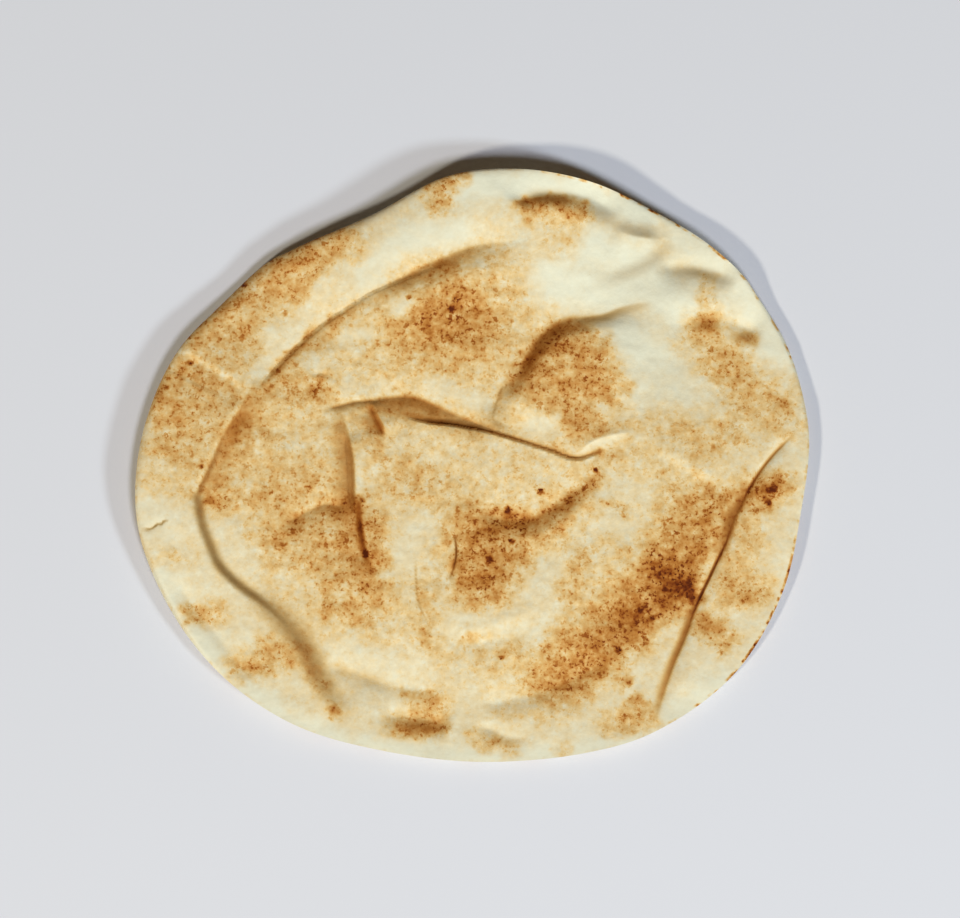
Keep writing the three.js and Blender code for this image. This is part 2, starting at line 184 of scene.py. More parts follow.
FOLDS = {
    "left rim step": Fold(
        LEFT_LINE + LOWER_LEFT_LINE[1:7], left=(-1.8, 12), right=(1.4, 16), fade=(8, 26), wall=2.4,
        grow=(0.7, 0.8, 0.9, 0.9, 0.9)),
    "lower end of the left rim step": Fold(
        LOWER_LEFT_LINE[4:], left=(-1.6, 12), right=(1.2, 14), fade=(24, 9), wall=4.4),
    "crease inside the far left rim": Fold(
        FAR_LEFT_LINE, left=(-2.8, 10), right=(-1.6, 4), fade=(13, 26), wall=0.6),
    "soft valley that carries on from it": valley(
        [(-33, 61.5), (-20, 68), (-10, 72), (0, 76), (12, 77.5), (22, 77)], 2.8, 8, 5, (14, 18), power=1.4),
    "swell in front of the soft valley": ridge(
        [(-28, 56), (-15, 61), (0, 66), (14, 69)], 0.9, 4, 14, (16, 16), power=1.6),
    "left end of the lip": valley(LIP_LEFT_LINE, 1.3, 4, 2.4, (6, 6), power=1.0),
    "valley behind the lip": valley(BEHIND_LIP_LINE, 2.2, 8, 5.5, (8, 12), power=1.15),
    "lip of the fold across the middle": Fold(
        LIP_LINE, left=(-0.7, 6), right=(1.5, 14), fade=(9, 4), wall=0.5,
        grow=(0.4, 1, 1.15, 1, 0.75, 0.7, 0.75, 0.6)),
    "hooked ridge at the lip's right end": ridge(
        [(35.9, 4.1), (40.5, 7.6), (48.1, 10.2), (54.9, 11.3)], 0.9, 2.8, 1.6, (5, 4), power=1.1),
    "flank of the large blister": ridge(
        [(12, 14), (15, 22), (20, 30.5), (24.5, 37.5), (30.5, 43), (37.5, 45.5), (48, 47.5), (59.5, 51)], 2,
        5, 14, (10, 14)),
    "foot of the blister's flank": valley(
        BLISTER_LINE, 1.8, 7, 5, (6, 22), power=1.3, grow=(0.7, 0.9, 1, 1, 1, 1, 1)),
    "crease inside the right rim": valley(
        RIGHT_LINE, 1.3, 1.7, 1.7, (8, 6), power=1.1, grow=(0.8, 1.1, 0.9, 1, 1, 1, 0.7, 0.6)),
    "swell outside the right crease": ridge(
        [(108, 4), (103, -5), (97, -18), (90, -34), (83, -50), (76, -68), (70, -82)], 0.6, 10, 8, (14, 10),
        power=1.6),
    "step from the lip to the right crease": Fold(
        [(57.5, 7), (65.5, 3.5), (73.5, -1), (88.5, -9)], left=(0.7, 7), right=(-0.3, 5), fade=(10, 10),
        wall=2.4),
    "upright crease left of the middle": Fold(
        [(-43.4, 12), (-42, 6), (-41.3, 0), (-41, -7), (-40.6, -13), (-38.8, -20), (-36.8, -28),
         (-34.5, -37)], left=(1.8, 4), right=(-1.5, 4.5), fade=(6, 8), wall=0.9,
        grow=(0.9, 1, 1, 0.9, 0.7, 0.6)),
    "dip across the left panel": valley(PANEL_LINE, 1.4, 3, 5, (8, 4), power=1.1),
    "groove right of the middle": valley(MIDDLE_LINE, 1.8, 5, 4.5, (8, 8)),
    "slanting ridge right of the middle": ridge(
        [(43.5, -8), (36, -15), (29, -21), (22, -24.5), (12, -25)], 0.8, 4, 4, (6, 8), power=1.4),
    "low ridge near the front": ridge(
        [(-8, -57), (0, -56.5), (8, -55), (16.2, -52.2), (22.7, -48)], 0.45, 2.6, 2.4, (7, 7), power=1.6),
    "dip in front of the low ridge": valley(
        [(-8, -61), (3, -61.5), (14, -59.5), (23, -55)], 0.6, 3, 4, (7, 8)),
    "low valley inside the front rim": valley(
        [(-51, -67.5), (-44, -70.5), (-36, -73), (-28, -76), (-18, -77), (-8, -78.5)], 1.5, 6, 3.5,
        (6, 10)),
    "dip inside the front rim": valley(
        [(0, -82), (10, -81.3), (20, -79), (30, -75.5), (40, -70.5), (48, -66)], 1.3, 6, 3.6, (8, 12)),
    "long dent in the front rim": valley(
        [(-33, -87), (-24, -86.5), (-14, -87.5), (-7, -91)], 2, 5, 4.5, (7, 6)),
    "short dent in the front rim": valley(
        [(0, -90.5), (6, -91), (12, -93.5), (20, -94.5)], 1.1, 3, 3, (5, 6)),
    "wrinkle along the lower left rim": valley(
        [(-102, -38), (-96, -48), (-88, -58), (-80, -68.5), (-73, -75)], 1.1, 4, 3, (8, 8)),
    "arc over the blister on the far rim": valley(
        [(15, 89), (18, 92.3), (22, 94.3), (31, 94.5), (40, 93), (47, 89), (50, 85.5)], 2, 5, 4.2, (5, 8)),
    "ridge below the far right rim": ridge(FAR_RIGHT_LINE, 1.3, 4.5, 10, (5, 5)),
    "far right wrinkle": Fold(FAR_WRINKLE_LINE, left=(-0.5, 9), right=(0.45, 8), fade=(9, 6), wall=3.4),
    "far right wrinkle to the edge": valley(EDGE_WRINKLE_LINE, 1.9, 4.5, 5, (7, 7), power=1.6),
    "dip inside the right rim": valley(
        [(64, 48.5), (74, 49.5), (83, 51), (92, 49.5), (100, 46)], 1.4, 5, 4, (10, 6)),
    "dent by the right edge": valley([(89, 49.8), (95, 48.7), (101, 46)], 0.5, 3, 3, (4, 5)),
    "crease across the left rim": Fold(
        [(-100.5, 40), (-94, 36.5), (-88, 32.8), (-82, 29.2), (-78, 25.8)], left=(0.25, 5), right=(-0.4, 4),
        fade=(5, 3), wall=1.0),
    "spur below the lip's left end": Fold(
        SPUR_LINE, left=(1.1, 4.5), right=(-1.2, 3.5), fade=(3, 4), wall=0.5),
    "dip in the far left panel": valley([(-56, 44.5), (-50, 44), (-43, 41)], 0.5, 3.5, 3.5, (5, 6)),
    "short crack in the middle": valley(MIDDLE_CRACK_LINE, 0.6, 1.3, 1.1, (2, 3), power=1.1),
    "long wrinkle in the middle": valley(
        [(-19, -33), (-18.6, -47), (-14.2, -57.4)], 0.35, 1.4, 1.4, (6, 6)),
    "crack in the left rim": valley(LEFT_CRACK_LINE, 0.4, 1, 1, (2, 2), power=1.1),
    "nick in the left rim": valley([(-97.3, 36.3), (-95, 35), (-93.5, 35.2)], 0.4, 1, 1, (1, 1)),
    "arc of a flat bubble on the left": Fold(
        [(-56.5, 30.5), (-51.5, 31.1), (-46.3, 28.3)], left=(-0.35, 2), right=(0.35, 4), fade=(3, 3),
        wall=0.5),
}


class Mound(NamedTuple):
    """A rounded blister."""

    centre: tuple
    size: tuple
    turn: float
    height: float


MOUNDS = {
    "large blister": Mound((35.5, 31), (18, 20), 0, 0.8),
    "blister on the far rim": Mound((28, 89), (11, 4.5), -8, 1.6),
}


class Crease(NamedTuple):
    """Skin in the shelter of a fold, with painted shade: the path, how much more browning it takes at even
    steps along it (toast in part, painted warm shade in part), how far that fades out on the left and
    on the right, and the share of its brightness lost where that is strongest, which is painted shade."""

    path: list
    toast_and_shade: tuple
    left: float
    right: float
    shade_share: float = 0.3


def shaded_stretch(path, reach, shade_share):
    """A stretch of painted shade: it loses some brightness and takes hardly any browning."""
    return Crease(path, (0.02, 0.02), reach, reach, shade_share)


# Browning in the creases, toast in part and painted warm shade in part, and painted shade that darkens them
CREASES = {
    "left rim": Crease(LEFT_LINE, (0.4, 0.9, 1, 0.8, 0.6, 0.5, 0.5), 6, 0.6, 0.12),
    "left rim's line": Crease(LEFT_LINE[2:], (0, 0.6, 0.9, 1, 1), 1.5, 0.6, 0.3),
    "lower left rim": Crease(LOWER_LEFT_LINE, (1, 1, 1, 1, 1, 0.9, 0.7, 0.5, 0.2, 0), 2.1, 1.6, 0.37),
    "lower end of the left rim": Crease(LOWER_LEFT_LINE[4:], (0, 0.6, 0.9, 0.9, 0.7, 0.2), 5, 4.6, 0.28),
    "far left rim": Crease(FAR_LEFT_LINE[:6], (0, 0.7, 0.8, 0.6, 0.5, 0.3), 0.6, 1.8, 0.15),
    "far left rim's line": Crease(FAR_LEFT_LINE[:5], (0, 1.8, 2.5, 2.2, 0.8), 0.4, 0.45, 0.5),
    "soft valley": Crease(
        [(-37, 58.5), (-28, 63), (-20, 67), (-10, 71.5), (0, 75.5), (10, 77.3)],
        (0.2, 0.6, 0.8, 0.9, 0.6, 0), 1, 4.5, 0.19),
    "left end of the lip": Crease(LIP_LEFT_LINE, (0, 0.8, 1, 1, 0.7), 0.6, 2.2, 0.3),
    "slope behind the lip": Crease(BEHIND_LIP_LINE, (0.7, 1, 1.2, 1.2, 1.1, 0.9, 0.6, 0), 0.9, 5.5, 0.17),
    "lip": Crease(LIP_LINE, (0, 1.6, 2.3, 2.3, 2.1, 1.9, 1.9, 1.4), 1.3, 0.5),
    "deep part of the lip": Crease(
        [(-28, 19.5), (-16, 15.4), (-6, 14.2), (3, 12.6), (12, 9.8)], (0.2, 1.4, 1.8, 1.4, 0.4), 2.4, 0.6,
        0.2),
    "spur": Crease(SPUR_LINE, (1, 1.9, 2.1, 1.8, 0.4), 0.6, 2.4, 0.16),
    "slope beside the spur": Crease(SPUR_LINE[1:], (0, 1, 1, 0.8, 0), 0.5, 5.5, 0.2),
    "upright": Crease(
        [(-43.4, 12.5), (-42.3, 7), (-41.1, 1), (-40.8, -6), (-40.6, -13)], (0.9, 1.2, 1.2, 1.1, 1), 0.7,
        5.4, 0.23),
    "lower upright": Crease(
        [(-38.9, -13.6), (-38.2, -22.1), (-36.9, -30), (-33.7, -38)], (1.1, 1.9, 1.5, 0.2), 0.8, 1.5, 0.16),
    "left panel": Crease(PANEL_LINE, (0, 0.2, 0.35, 0.4, 0.4), 0.6, 4, 0.15),
    "blister's flank": Crease(
        BLISTER_LINE, (0.3, 0.3, 0.3, 0.5, 0.8, 1, 1, 1, 0.9, 0.5, 0.2, 0, 0, 0), 1.2, 4.6, 0.2),
    "blister's far end": Crease(BLISTER_LINE[7:], (0.2, 0.7, 1.1, 1.1, 0.8, 0.5, 0), 0.8, 2.5, 0.34),
    "blister's thin line": Crease(BLISTER_LINE[:4], (0.6, 0.8, 0.8, 0.3), 0.5, 0.6),
    "corner of the blister and the lip": Crease(
        [(6, 16.5), (9, 14), (14, 11.4)], (0.3, 0.5, 0.1), 1.2, 1.8),
    "right rim": Crease(
        RIGHT_LINE, (0, 1.4, 1.9, 1.8, 1, 1.6, 2.2, 2.5, 2.5, 2.2, 1.6, 1, 0.6, 0.3, 0), 0.5, 0.6, 0.42),
    "right rim's upper wedge": Crease(RIGHT_LINE[3:8], (0, 1.2, 1.4, 0.9, 0), 1.2, 2.4, 0.28),
    "lower right rim": Crease(RIGHT_LINE[8:], (0, 1.4, 1.9, 1.9, 1.6, 1.3, 0.4), 0.8, 1.8, 0.32),
    "middle": Crease(MIDDLE_LINE, (0, 0.2, 0.3, 0.4, 0.3, 0), 0.8, 4, 0.1),
    "way to the far right ridge": Crease([(36, 91.5), (43, 88), (50, 83.5)], (0, 0.2, 0.2), 3, 3, 0.2),
    "far right ridge": Crease(FAR_RIGHT_LINE, (0.1, 0.2, 0.3, 0.3, 0.1), 3.2, 0.8, 0.48),
    "far right wrinkle": Crease(FAR_WRINKLE_LINE, (0, 0.15, 0.2, 0.2), 2.4, 3, 0.12),
    "edge wrinkle": Crease(EDGE_WRINKLE_LINE, (0, 0.2, 0.35, 0.3, 0), 1.6, 2.8, 0.45),
    "long wrinkle": Crease(
        [(-19.4, -31), (-19.3, -40), (-18.6, -47), (-14.2, -57.4)], (0, 0.7, 0.6, 0.5, 0), 0.35, 0.35, 0.2),
    "dent in the front rim": Crease(
        [(-28, -89.6), (-20, -90.4), (-12, -90)], (0.4, 0.9, 0.9, 0.4), 2.6, 2.6, 0.1),
    "arc on the far rim": Crease(
        [(15.5, 89.5), (20, 92), (28, 92.6), (36, 91)], (0.3, 0.8, 0.9, 0.4), 2.6, 2.6, 0.1),
    "dip inside the right rim": Crease([(77, 49.5), (83, 49.5)], (0.4, 0.8, 0.4), 2.4, 2.4, 0.12),
    "dent by the right edge": Crease([(91, 45.5), (97.5, 44)], (0.4, 0.6, 0.3), 2.4, 2.4, 0.22),
    "low valley": Crease(
        [(-51, -67.5), (-44, -70.5), (-36, -73), (-28, -76)], (0.3, 0.35, 0.35, 0.2), 1.5, 3, 0.06),
    # Stretches of painted shade that darken the skin a little
    "painted shade on the outer far left rim": shaded_stretch([(-38, 79), (-30, 84), (-18, 90.5)], 5, 0.08),
    "painted shade on the front": shaded_stretch([(-80, -66), (-36, -86), (0, -91), (37, -88), (75, -72)], 30, 0.045),
    "painted shade right of the blister": shaded_stretch([(52, 46), (62, 40), (68, 32)], 9, 0.07),
    "painted shade on the far left rim": shaded_stretch([(-40, 66), (-25, 75), (-8, 80)], 7, 0.04),
    "left crack": Crease(LEFT_CRACK_LINE, (0.5, 1.2, 0.9, 1.2, 0.8, 1.1, 0.4), 0.35, 0.35, 0.6),
    "middle crack": Crease(MIDDLE_CRACK_LINE, (0, 1.5, 1.4, 0.2), 0.35, 0.4, 0.5),
}

# The higher, the more evenly a crease is filled and the crisper its borders
CREASE_FILL = 2.2


class Toast(NamedTuple):
    """A toasted or pale stretch of skin: its browning, its half width, the path that it follows and the
    softness of its border. A crisp one keeps to its path, and a soft one wanders."""

    level: float
    half_width: float
    path: list
    softness: float = 0.75


def mark(level, half_width, *path):
    """A crisp line or spot."""
    return Toast(level, half_width, list(path), 0.4)


# Softness below which a stroke keeps to its path
CRISP = 0.5

# Browning runs from 0, white dough, over 3, dark brown, to 4.3, charred
INNER_BROWNING = 0.95
RIM_BROWNING = 0.6
BASE_BROWNING = 1.15
BASE_BROWNING_RANGE = (0.5, 2.4)

# Each row holds the values of one Toast. Later strokes lie over earlier ones.
TOAST = {
    "pale stretches": [
        (0.2, 9, [(27, 64), (45, 60), (60, 63), (70, 56)]), (0.2, 6, [(40, 76), (55, 73)]),
        (0.15, 5, [(-2, 97), (3, 97), (35, 96), (58, 87)]), (0.2, 8, [(50, 47), (60, 39), (65, 33)]),
        (0.25, 8, [(75, 80), (95, 62), (106, 40)]), (0.4, 8, [(60, 25), (75, 25)]),
        (0.15, 5, [(-37, 64), (-25, 76), (-5, 80)]), (0.55, 6, [(-45, -66), (-20, -72)]),
        (0.55, 5, [(-24, -34), (-20, -22), (-14, -18)]), (0.6, 4, [(-86, -24), (-78, -36)]),
        (0.6, 6, [(21, -55), (25, -36)]), (0.55, 5, [(-5, -54), (12, -54)]),
        (0.6, 4, [(45, -20), (53, -22)]), (0.65, 5, [(46, -9), (58, -11)]),
        (0.42, 10, [(-112, -14), (-108, -42), (-90, -66)]), (0.45, 8, [(90, -66), (70, -90), (40, -98)]),
        (0.24, 4.5, [(-108, -42), (-85, -74), (-62, -90), (-36, -98), (0, -103), (37, -100),
                     (62, -93), (88, -75)]),
    ],
    "far left rim": [
        (1.2, 14, [(-102, 28), (-86, 42), (-66, 56)]),
        (1.65, 10, [(-84, 52), (-70, 62), (-58, 68), (-49, 79)]), (1.6, 5, [(-95, 45), (-80, 48)]),
        (1.3, 5, [(-72, 52), (-54, 57)]), (0.65, 5, [(-68, 45), (-56, 53), (-46, 66)]),
        (1.8, 6, [(-71, 64), (-65, 63)]), (1.8, 3, [(-62, 70), (-59, 73)]),
        (1.8, 3, [(-54, 78), (-49, 81)]), (1.85, 2, [(-69, 71)]),
    ],
    "left rim": [
        (1.35, 12, [(-100, 4), (-92, 16)]), (1.55, 8, [(-104, 25), (-84, 28)]),
        (1.7, 5, [(-103, 29), (-104, 21)]), (2.1, 2, [(-101, 31)]), (1.75, 2.5, [(-93, 31), (-83, 26)]),
        (1.7, 1.5, [(-92, 24), (-88, 23)]), (1.6, 5, [(-102, 15), (-93, 14)]), (1.6, 2.5, [(-107, 15)]),
        (1.6, 3, [(-106, 8), (-102, 7)]), (0.95, 6, [(-110, -5), (-100, -8)]),
        (0.8, 4, [(-107, -32), (-99, -32)]), (1.35, 1.5, [(-102, -32)]), (1.3, 4, [(-96, -52), (-87, -52)]),
        (1.7, 3, [(-95, -52), (-91, -51)]), (1.25, 5, [(-80, -70), (-65, -66)]),
        (1.65, 2.5, [(-78, -70), (-72, -70)]), (1.5, 3.5, [(-70, -62), (-64, -67)]),
        (0.55, 2.6, [(-76, 29), (-68, 38), (-60, 46)]),
        (0.85, 1.1, [(-87, 33), (-82.4, 30.2), (-77.5, 26.4)]),
    ],
    "inside the left rim": [
        (1.3, 9, [(-74, 18), (-76, 6), (-86, -6)]), (1.4, 4.5, [(-78, 20), (-82, 4), (-89, -5)]),
        (1.6, 3, [(-79, 17), (-82, 8)]), (1.9, 3, [(-90, -13), (-86, -13)]),
        (1.1, 3.5, [(-60, -63), (-52, -76)]), (2.0, 2.5, [(-47, -85)]),
    ],
    "inside the far left rim": [
        (1.7, 2.2, [(-72, 26), (-65, 35), (-59, 41)]), (1.6, 3, [(-57, 43), (-53, 44)]),
        (1.6, 2.5, [(-48, 49), (-41, 54)]), (1.5, 5, [(-66, 27), (-50, 27)]),
        (2.0, 2.6, [(-54, 29), (-56, 23)]), (2.4, 1.2, [(-53.5, 28)]),
    ],
    "behind the lip": [
        (1.3, 20, [(-14, 50), (-4, 52)]), (1.65, 8, [(-24, 45), (4, 47)]), (1.65, 7, [(-8, 62), (0, 55)]),
        (2.0, 6, [(-14, 49), (0, 51)]), (1.6, 4, [(-10, 66), (-9, 60)]), (2.0, 2.5, [(-10, 43), (2, 44)]),
        (2.3, 5, [(-16, 50), (-5, 53), (-5, 58)]), (2.7, 2, [(-6, 58)]), (1.5, 3, [(-11, 38), (-8, 32)]),
        (1.3, 3.5, [(14, 60), (12, 54)]), (1.3, 2, [(4, 63)]), (0.6, 3.5, [(-54, 35)]),
        (0.6, 3, [(-44, 44), (-37, 46)]), (0.6, 3, [(-25, 56)]), (0.65, 3, [(-43, 27)]),
        (0.65, 3, [(-31, 28)]), (0.65, 3, [(-15, 28), (4, 22)]),
        # The next stroke lies in the shade north of the lip: toast in part, painted warm shade in part
        (1.25, 3.6, [(-31, 20.8), (-22, 20.2), (-13, 17.2)], 0.5),
    ],
    "large blister": [
        (1.65, 9, [(33, 18), (39, 36)]), (1.8, 8, [(22, 30), (31, 37), (38, 37)], 0.6),
        (2.05, 5, [(18, 32), (24, 40), (32, 45)]), (2.05, 4, [(39, 38), (41, 31)]),
        (2.05, 3, [(31, 28), (34, 20)]), (2.05, 3, [(43, 26), (46, 24)]), (1.65, 4.5, [(36, 16), (40, 13)]),
        (1.25, 3, [(47, 13), (51, 12)]), (1.25, 2.5, [(50, 28), (53, 27)]),
        # The second stroke on the next line follows the hooked ridge's lit crest: paler skin and a painted
        # highlight
        (0.6, 4.5, [(20, 14), (25, 13)]), (0.6, 1.3, [(37, 3.6), (42, 7.2), (49, 9.8), (54.5, 10.8)], 0.45),
        (1.5, 1.8, [(44, 3.6), (51, 4.6)]),
    ],
    "far rim": [
        (1.5, 4, [(-12, 95), (-11, 90)]), (1.7, 3, [(-15, 96), (-4, 100)]),
        (1.95, 1.2, [(-12, 97), (-8, 98.5)]), (2.05, 1.2, [(-11, 93)]), (0.95, 7, [(30, 80)]),
        (1.65, 3.5, [(18, 89), (28, 88), (38, 88)]), (1.7, 3, [(36, 85)]), (1.7, 2.2, [(19, 91), (32, 91)]),
        (0.4, 4, [(50, 81), (60, 80)]),
    ],
    "right rim": [
        (1.25, 9, [(81, 44), (93, 28), (105, 18)]), (1.2, 3, [(81, 64), (80, 54)]), (1.7, 4, [(80, 49)]),
        (1.75, 2, [(80, 49)]), (1.2, 3.5, [(94, 44)]), (1.65, 4, [(85, 37), (90, 33)]),
        (1.65, 2, [(84, 30)]), (1.7, 2.5, [(93, 28), (94, 23)]), (1.65, 3, [(104, 23), (107, 19)]),
        (0.95, 8, [(64, 11), (90, 9)]), (1.25, 4, [(73, 11), (90, 10)]), (1.25, 2.5, [(74, 5), (84, 6)]),
        (1.6, 6, [(91, -11), (104, -7)]), (2.05, 4, [(92, -12), (104, -7)]), (2.4, 3, [(96, -9), (99, -9)]),
        (2.35, 1.8, [(101, -13)]), (1.3, 6, [(94, -22), (92, -34)]), (1.6, 5, [(87, -44), (98, -44)]),
        (2.0, 1.8, [(88, -41)]), (2.0, 1.8, [(93, -46)]), (1.65, 5, [(80, -55), (86, -60)]),
        (2.0, 2, [(79, -54)]),
    ],
    "left panel": [
        (1.2, 7, [(-24, -3), (-11, -10)]), (1.25, 8, [(-74, -4), (-54, -3)]),
        (1.6, 3.5, [(-74, -12), (-66, -10), (-55, -5)]), (1.95, 1.8, [(-67, -9)]), (1.95, 1.8, [(-55, -6)]),
        (1.6, 9, [(-64, -24), (-48, -26), (-40, -42)]), (1.75, 5, [(-55, -18), (-36, -20)]),
        (2.0, 2.5, [(-61, -21)]), (2.0, 1.6, [(-65, -28)]), (2.0, 2, [(-52, -28)]),
        (1.85, 6, [(-41, -16), (-36, -37)]), (1.95, 3, [(-33, -20), (-33, -30)]),
        mark(3.8, 0.7, (-37.7, -12.5)), (2.05, 2.5, [(-38, -43)]), (2.05, 2, [(-51, -42)]),
        (2.0, 1.5, [(-40, -48)]), (1.65, 4.5, [(-47, -50), (-37, -50)]), (1.2, 2, [(-44, -46)]),
        (1.4, 3.5, [(-34, 10), (-32, 5)]), (0.75, 1.0, [(-39.2, 4), (-39, -10)]),
    ],
    "middle": [
        (1.55, 3, [(-20, -4)]), (1.3, 2, [(-17, -44), (-15.5, -62)]), (1.6, 1.5, [(-16, -57)]),
        (1.5, 2.5, [(-2, -60)]), (1.5, 2, [(10, -65)]), (1.3, 2, [(3, -66), (8, -70)]),
        (1.65, 8, [(-1, -22), (2, -40), (18, -24)]), (2.05, 7.5, [(2, -22), (3, -41)]),
        (2.2, 5, [(8, -22), (20, -20)]), (2.35, 4, [(5, -27), (10, -33)]), (2.4, 4, [(2, -42), (5, -40)]),
        (2.7, 2.5, [(12, -17)]), (2.7, 1.4, [(9, -22), (18, -21)]), (1.6, 3.5, [(22, -22), (31, -20)]),
        (2.2, 2.8, [(28, -16), (35, -12), (41, -7)]), (1.6, 2, [(43, -4)]), (0.65, 1.8, [(21, -14)]),
        (1.6, 1.8, [(24, -9)]), (1.6, 2, [(45, -15), (54, -15)]), (1.6, 1.5, [(64, -3)]),
        (1.3, 3.5, [(38, -33), (32, -45)]), (1.6, 2.2, [(33, -45)]),
    ],
    "scorched stretch": [
        (1.65, 11, [(79, -17), (70, -32), (56, -48), (42, -62), (29, -73)]),
        (2.05, 7.5, [(77, -20), (70, -32), (58, -46), (47, -58), (38, -68), (29, -73)]),
        (2.25, 6.5, [(74, -28), (68, -38), (57, -51), (54, -57)]), (2.9, 6, [(66, -36), (71, -44)]),
        (2.55, 3, [(54, -52), (60, -52)]), (3.5, 3.6, [(68, -38), (71, -42)]),
        (3.7, 1.3, [(64.6, -40.5), (66.2, -43.5)]), (3.7, 1.3, [(71.5, -40), (74.2, -46)]),
        (3.6, 0.9, [(67.5, -36), (69.5, -38.5)]), (3.5, 0.8, [(69.8, -44.8), (71.2, -45.4)]),
        (2.9, 2, [(56.5, -52)]), (3.1, 1.7, [(61, -53.5), (61.8, -52)]), (2.35, 4, [(44, -63), (41, -68)]),
        (2.7, 1.2, [(44, -65)]), (2.3, 2.5, [(34, -76)]), (2.05, 3.5, [(28, -70)]), (2.0, 2, [(52, -75)]),
        (2.3, 2.5, [(83, -14)]),
    ],
    "front rim": [
        (1.65, 4.5, [(-17, -84), (-13, -82)]), (1.6, 1.5, [(-23, -79), (-15, -79)]),
        (1.45, 4, [(-25, -90), (-12, -89)]), (1.65, 2.6, [(-23, -90.5), (-15, -90)]),
        (1.25, 3, [(1, -94), (13, -98)]), (1.6, 2, [(8, -95)]), (1.25, 2.5, [(31, -98)]),
        (0.95, 3, [(8, -85), (27, -87)]), (1.25, 4, [(46, -90), (60, -89)]),
        (1.65, 3.5, [(52, -86), (57, -83)]),
    ],
    "charred specks": [
        mark(4.2, 1.0, (23.4, -9.4)), mark(4.3, 1.3, (12.2, -15.6)), mark(4.2, 1.1, (13.4, -26.6)),
        mark(4.2, 1.1, (5.9, -32.8)), mark(3.6, 0.8, (42.2, -2)), mark(4.0, 1.1, (49.8, -64)),
        mark(3.5, 0.8, (10, -66.5)), mark(3.5, 0.8, (25.9, -67)), mark(4.0, 1.1, (-7.2, 54.5)),
        mark(3.8, 1.1, (-6, 58)), mark(3.0, 0.9, (-22, 58)), mark(4.0, 0.7, (-36.9, -30), (-36.5, -31.5)),
        mark(3.2, 0.7, (-37.6, -12.6)), mark(4.0, 1.1, (101.5, -8.6), (103.5, -8)),
        mark(3.8, 0.9, (101.5, -13), (100, -11.5)), mark(4.2, 0.8, (72.3, -40.5), (73.2, -41.4)),
        mark(4.1, 0.7, (66.2, -43.2)), mark(4.0, 0.7, (57.5, -50.6)),
        mark(4.1, 0.8, (61.6, -52.8), (62.2, -52.3)), mark(3.0, 0.8, (35.5, 19)),
        mark(3.0, 0.8, (82.5, 6.2)), mark(3.0, 0.8, (-104.8, 26.6)), mark(3.2, 1.0, (-97, 35.4)),
        mark(3.0, 0.9, (-64.5, 52.8)), mark(3.0, 0.8, (-92.8, -1)), mark(3.2, 0.9, (-78.5, 63.2)),
    ],
}

# Browning of the sealed edge round the bread, as (degrees from +X, level), laid on in dots. They start at a
# share of the radius and come in over another. The higher the last value, the more of the edge they cover.
EDGE_TOAST = [
    (0, 1.2), (30, 1.6), (46, 2.7), (62, 2.8), (72, 1.2), (90, 0.5), (130, 1.6), (155, 2.2), (175, 1.2),
    (200, 0.6), (240, 0.4), (305, 0.4), (320, 2.6), (333, 4.3), (345, 2.0),
]
EDGE_DOTS_START = 0.991
EDGE_DOTS_COME_IN = 0.005
EDGE_DOTS_COVER = 0.2

# Rings of the mesh: ring k holds six times k points. Three steps of the top's edge meet one of the base's.
STEPS_TO_ONE = 3

# How much closer the top's rings lie towards the edge
RING_CROWDING = 0.2

# A fold is sharp with a wall or, without one, a power of at most these
SHARP_WALL = 0.8
SHARP_POWER = 1.2

# The top's points this near to a sharp fold are drawn to its line, or to the crest and foot of its wall:
# how strongly, and the share of the radius from which that fades
DRAW_REACH = 2.6
DRAW_POWER = 1.6
DRAW_ENDS = 0.95

# Steps from point to point of a path, steps round the edge, and the reaches past which folds and creases end
PATH_STEPS = 8
OUTLINE_STEPS = 1440
FOLD_ENDS = 6
CREASE_ENDS = 3

# On the baking map: middle and half width of the top and of the base, and of the edge beside the base's
TOP_MIDDLE, TOP_HALF = np.array([0.5, 0.675]), np.array([0.49, 0.315])
BASE_MIDDLE, BASE_HALF = np.array([0.5, 0.175]), np.array([0.475, 0.16])
SEAL_WIDENING = 1.02


class Shade(NamedTuple):
    """A colour of skin, and the browning that has it."""

    level: float
    description: str
    colour: tuple


SHADES = {
    "dough": Shade(0.15, "Skin that took no colour", (231, 230, 208)),
    "cream": Shade(0.6, "Pale skin", (230, 214, 176)),
    "straw": Shade(1.05, "Lightly browned skin", (227, 198, 143)),
    "tan": Shade(1.5, "Browned skin", (217, 176, 111)),
    "toast": Shade(1.95, "Toasted skin", (204, 151, 84)),
    "brown": Shade(2.4, "Well toasted skin", (187, 125, 57)),
    "dark_brown": Shade(3.0, "Hard toasted skin", (160, 92, 30)),
    "scorch": Shade(3.6, "Scorched skin", (124, 57, 13)),
    "char": Shade(4.3, "Charred skin", (89, 34, 6)),
}

# Browning at the end of the colour ramp
RAMP_END = 4.5

# Blotches and freckles: their noises as (detail, roughness), strengths, and sizes beside the freckles'
BLOTCH_NOISE = (3.0, 0.6)
BLOTCH_STRENGTH = 3.8
FRECKLE_NOISE = (2.0, 0.6)
FRECKLE_STRENGTH = 1.2
FRECKLE_MEAN = 0.1
FINE_FRECKLE_SIZE = 0.42
FINE_FRECKLE_WEIGHT = 0.25
SPOT_RANGE = (0.08, 0.18)
SPOT_STRENGTH = 0.65

# Bloom: how far off the freckles it lies, its strengths, its broad part's size and its mean brightness
BLOOM_SHIFT = (0.31, 0.17, 0.0)
BLOOM_STRENGTH = 0.36
BROAD_BLOOM_SIZE = 2.4
BROAD_BLOOM_STRENGTH = 0.16
BLOOM_MEAN = 0.97

# Specks, in shares of the distance between them, with chance sizes and strengths as (least, spread)
SPECK_RAGGEDNESS = 2.2
SPECK_SHIFT = 1.3
SPECK_RADIUS = (0.17, 0.21)
SPECK_BORDER = (0.7, 1.15)
SPECK_STRENGTH = (0.35, 0.65)
SMALL_SPECK_STRENGTH = 0.8
LARGE_SPECK_SPACING = 1.9
LARGE_SPECK_SHARE = 0.35

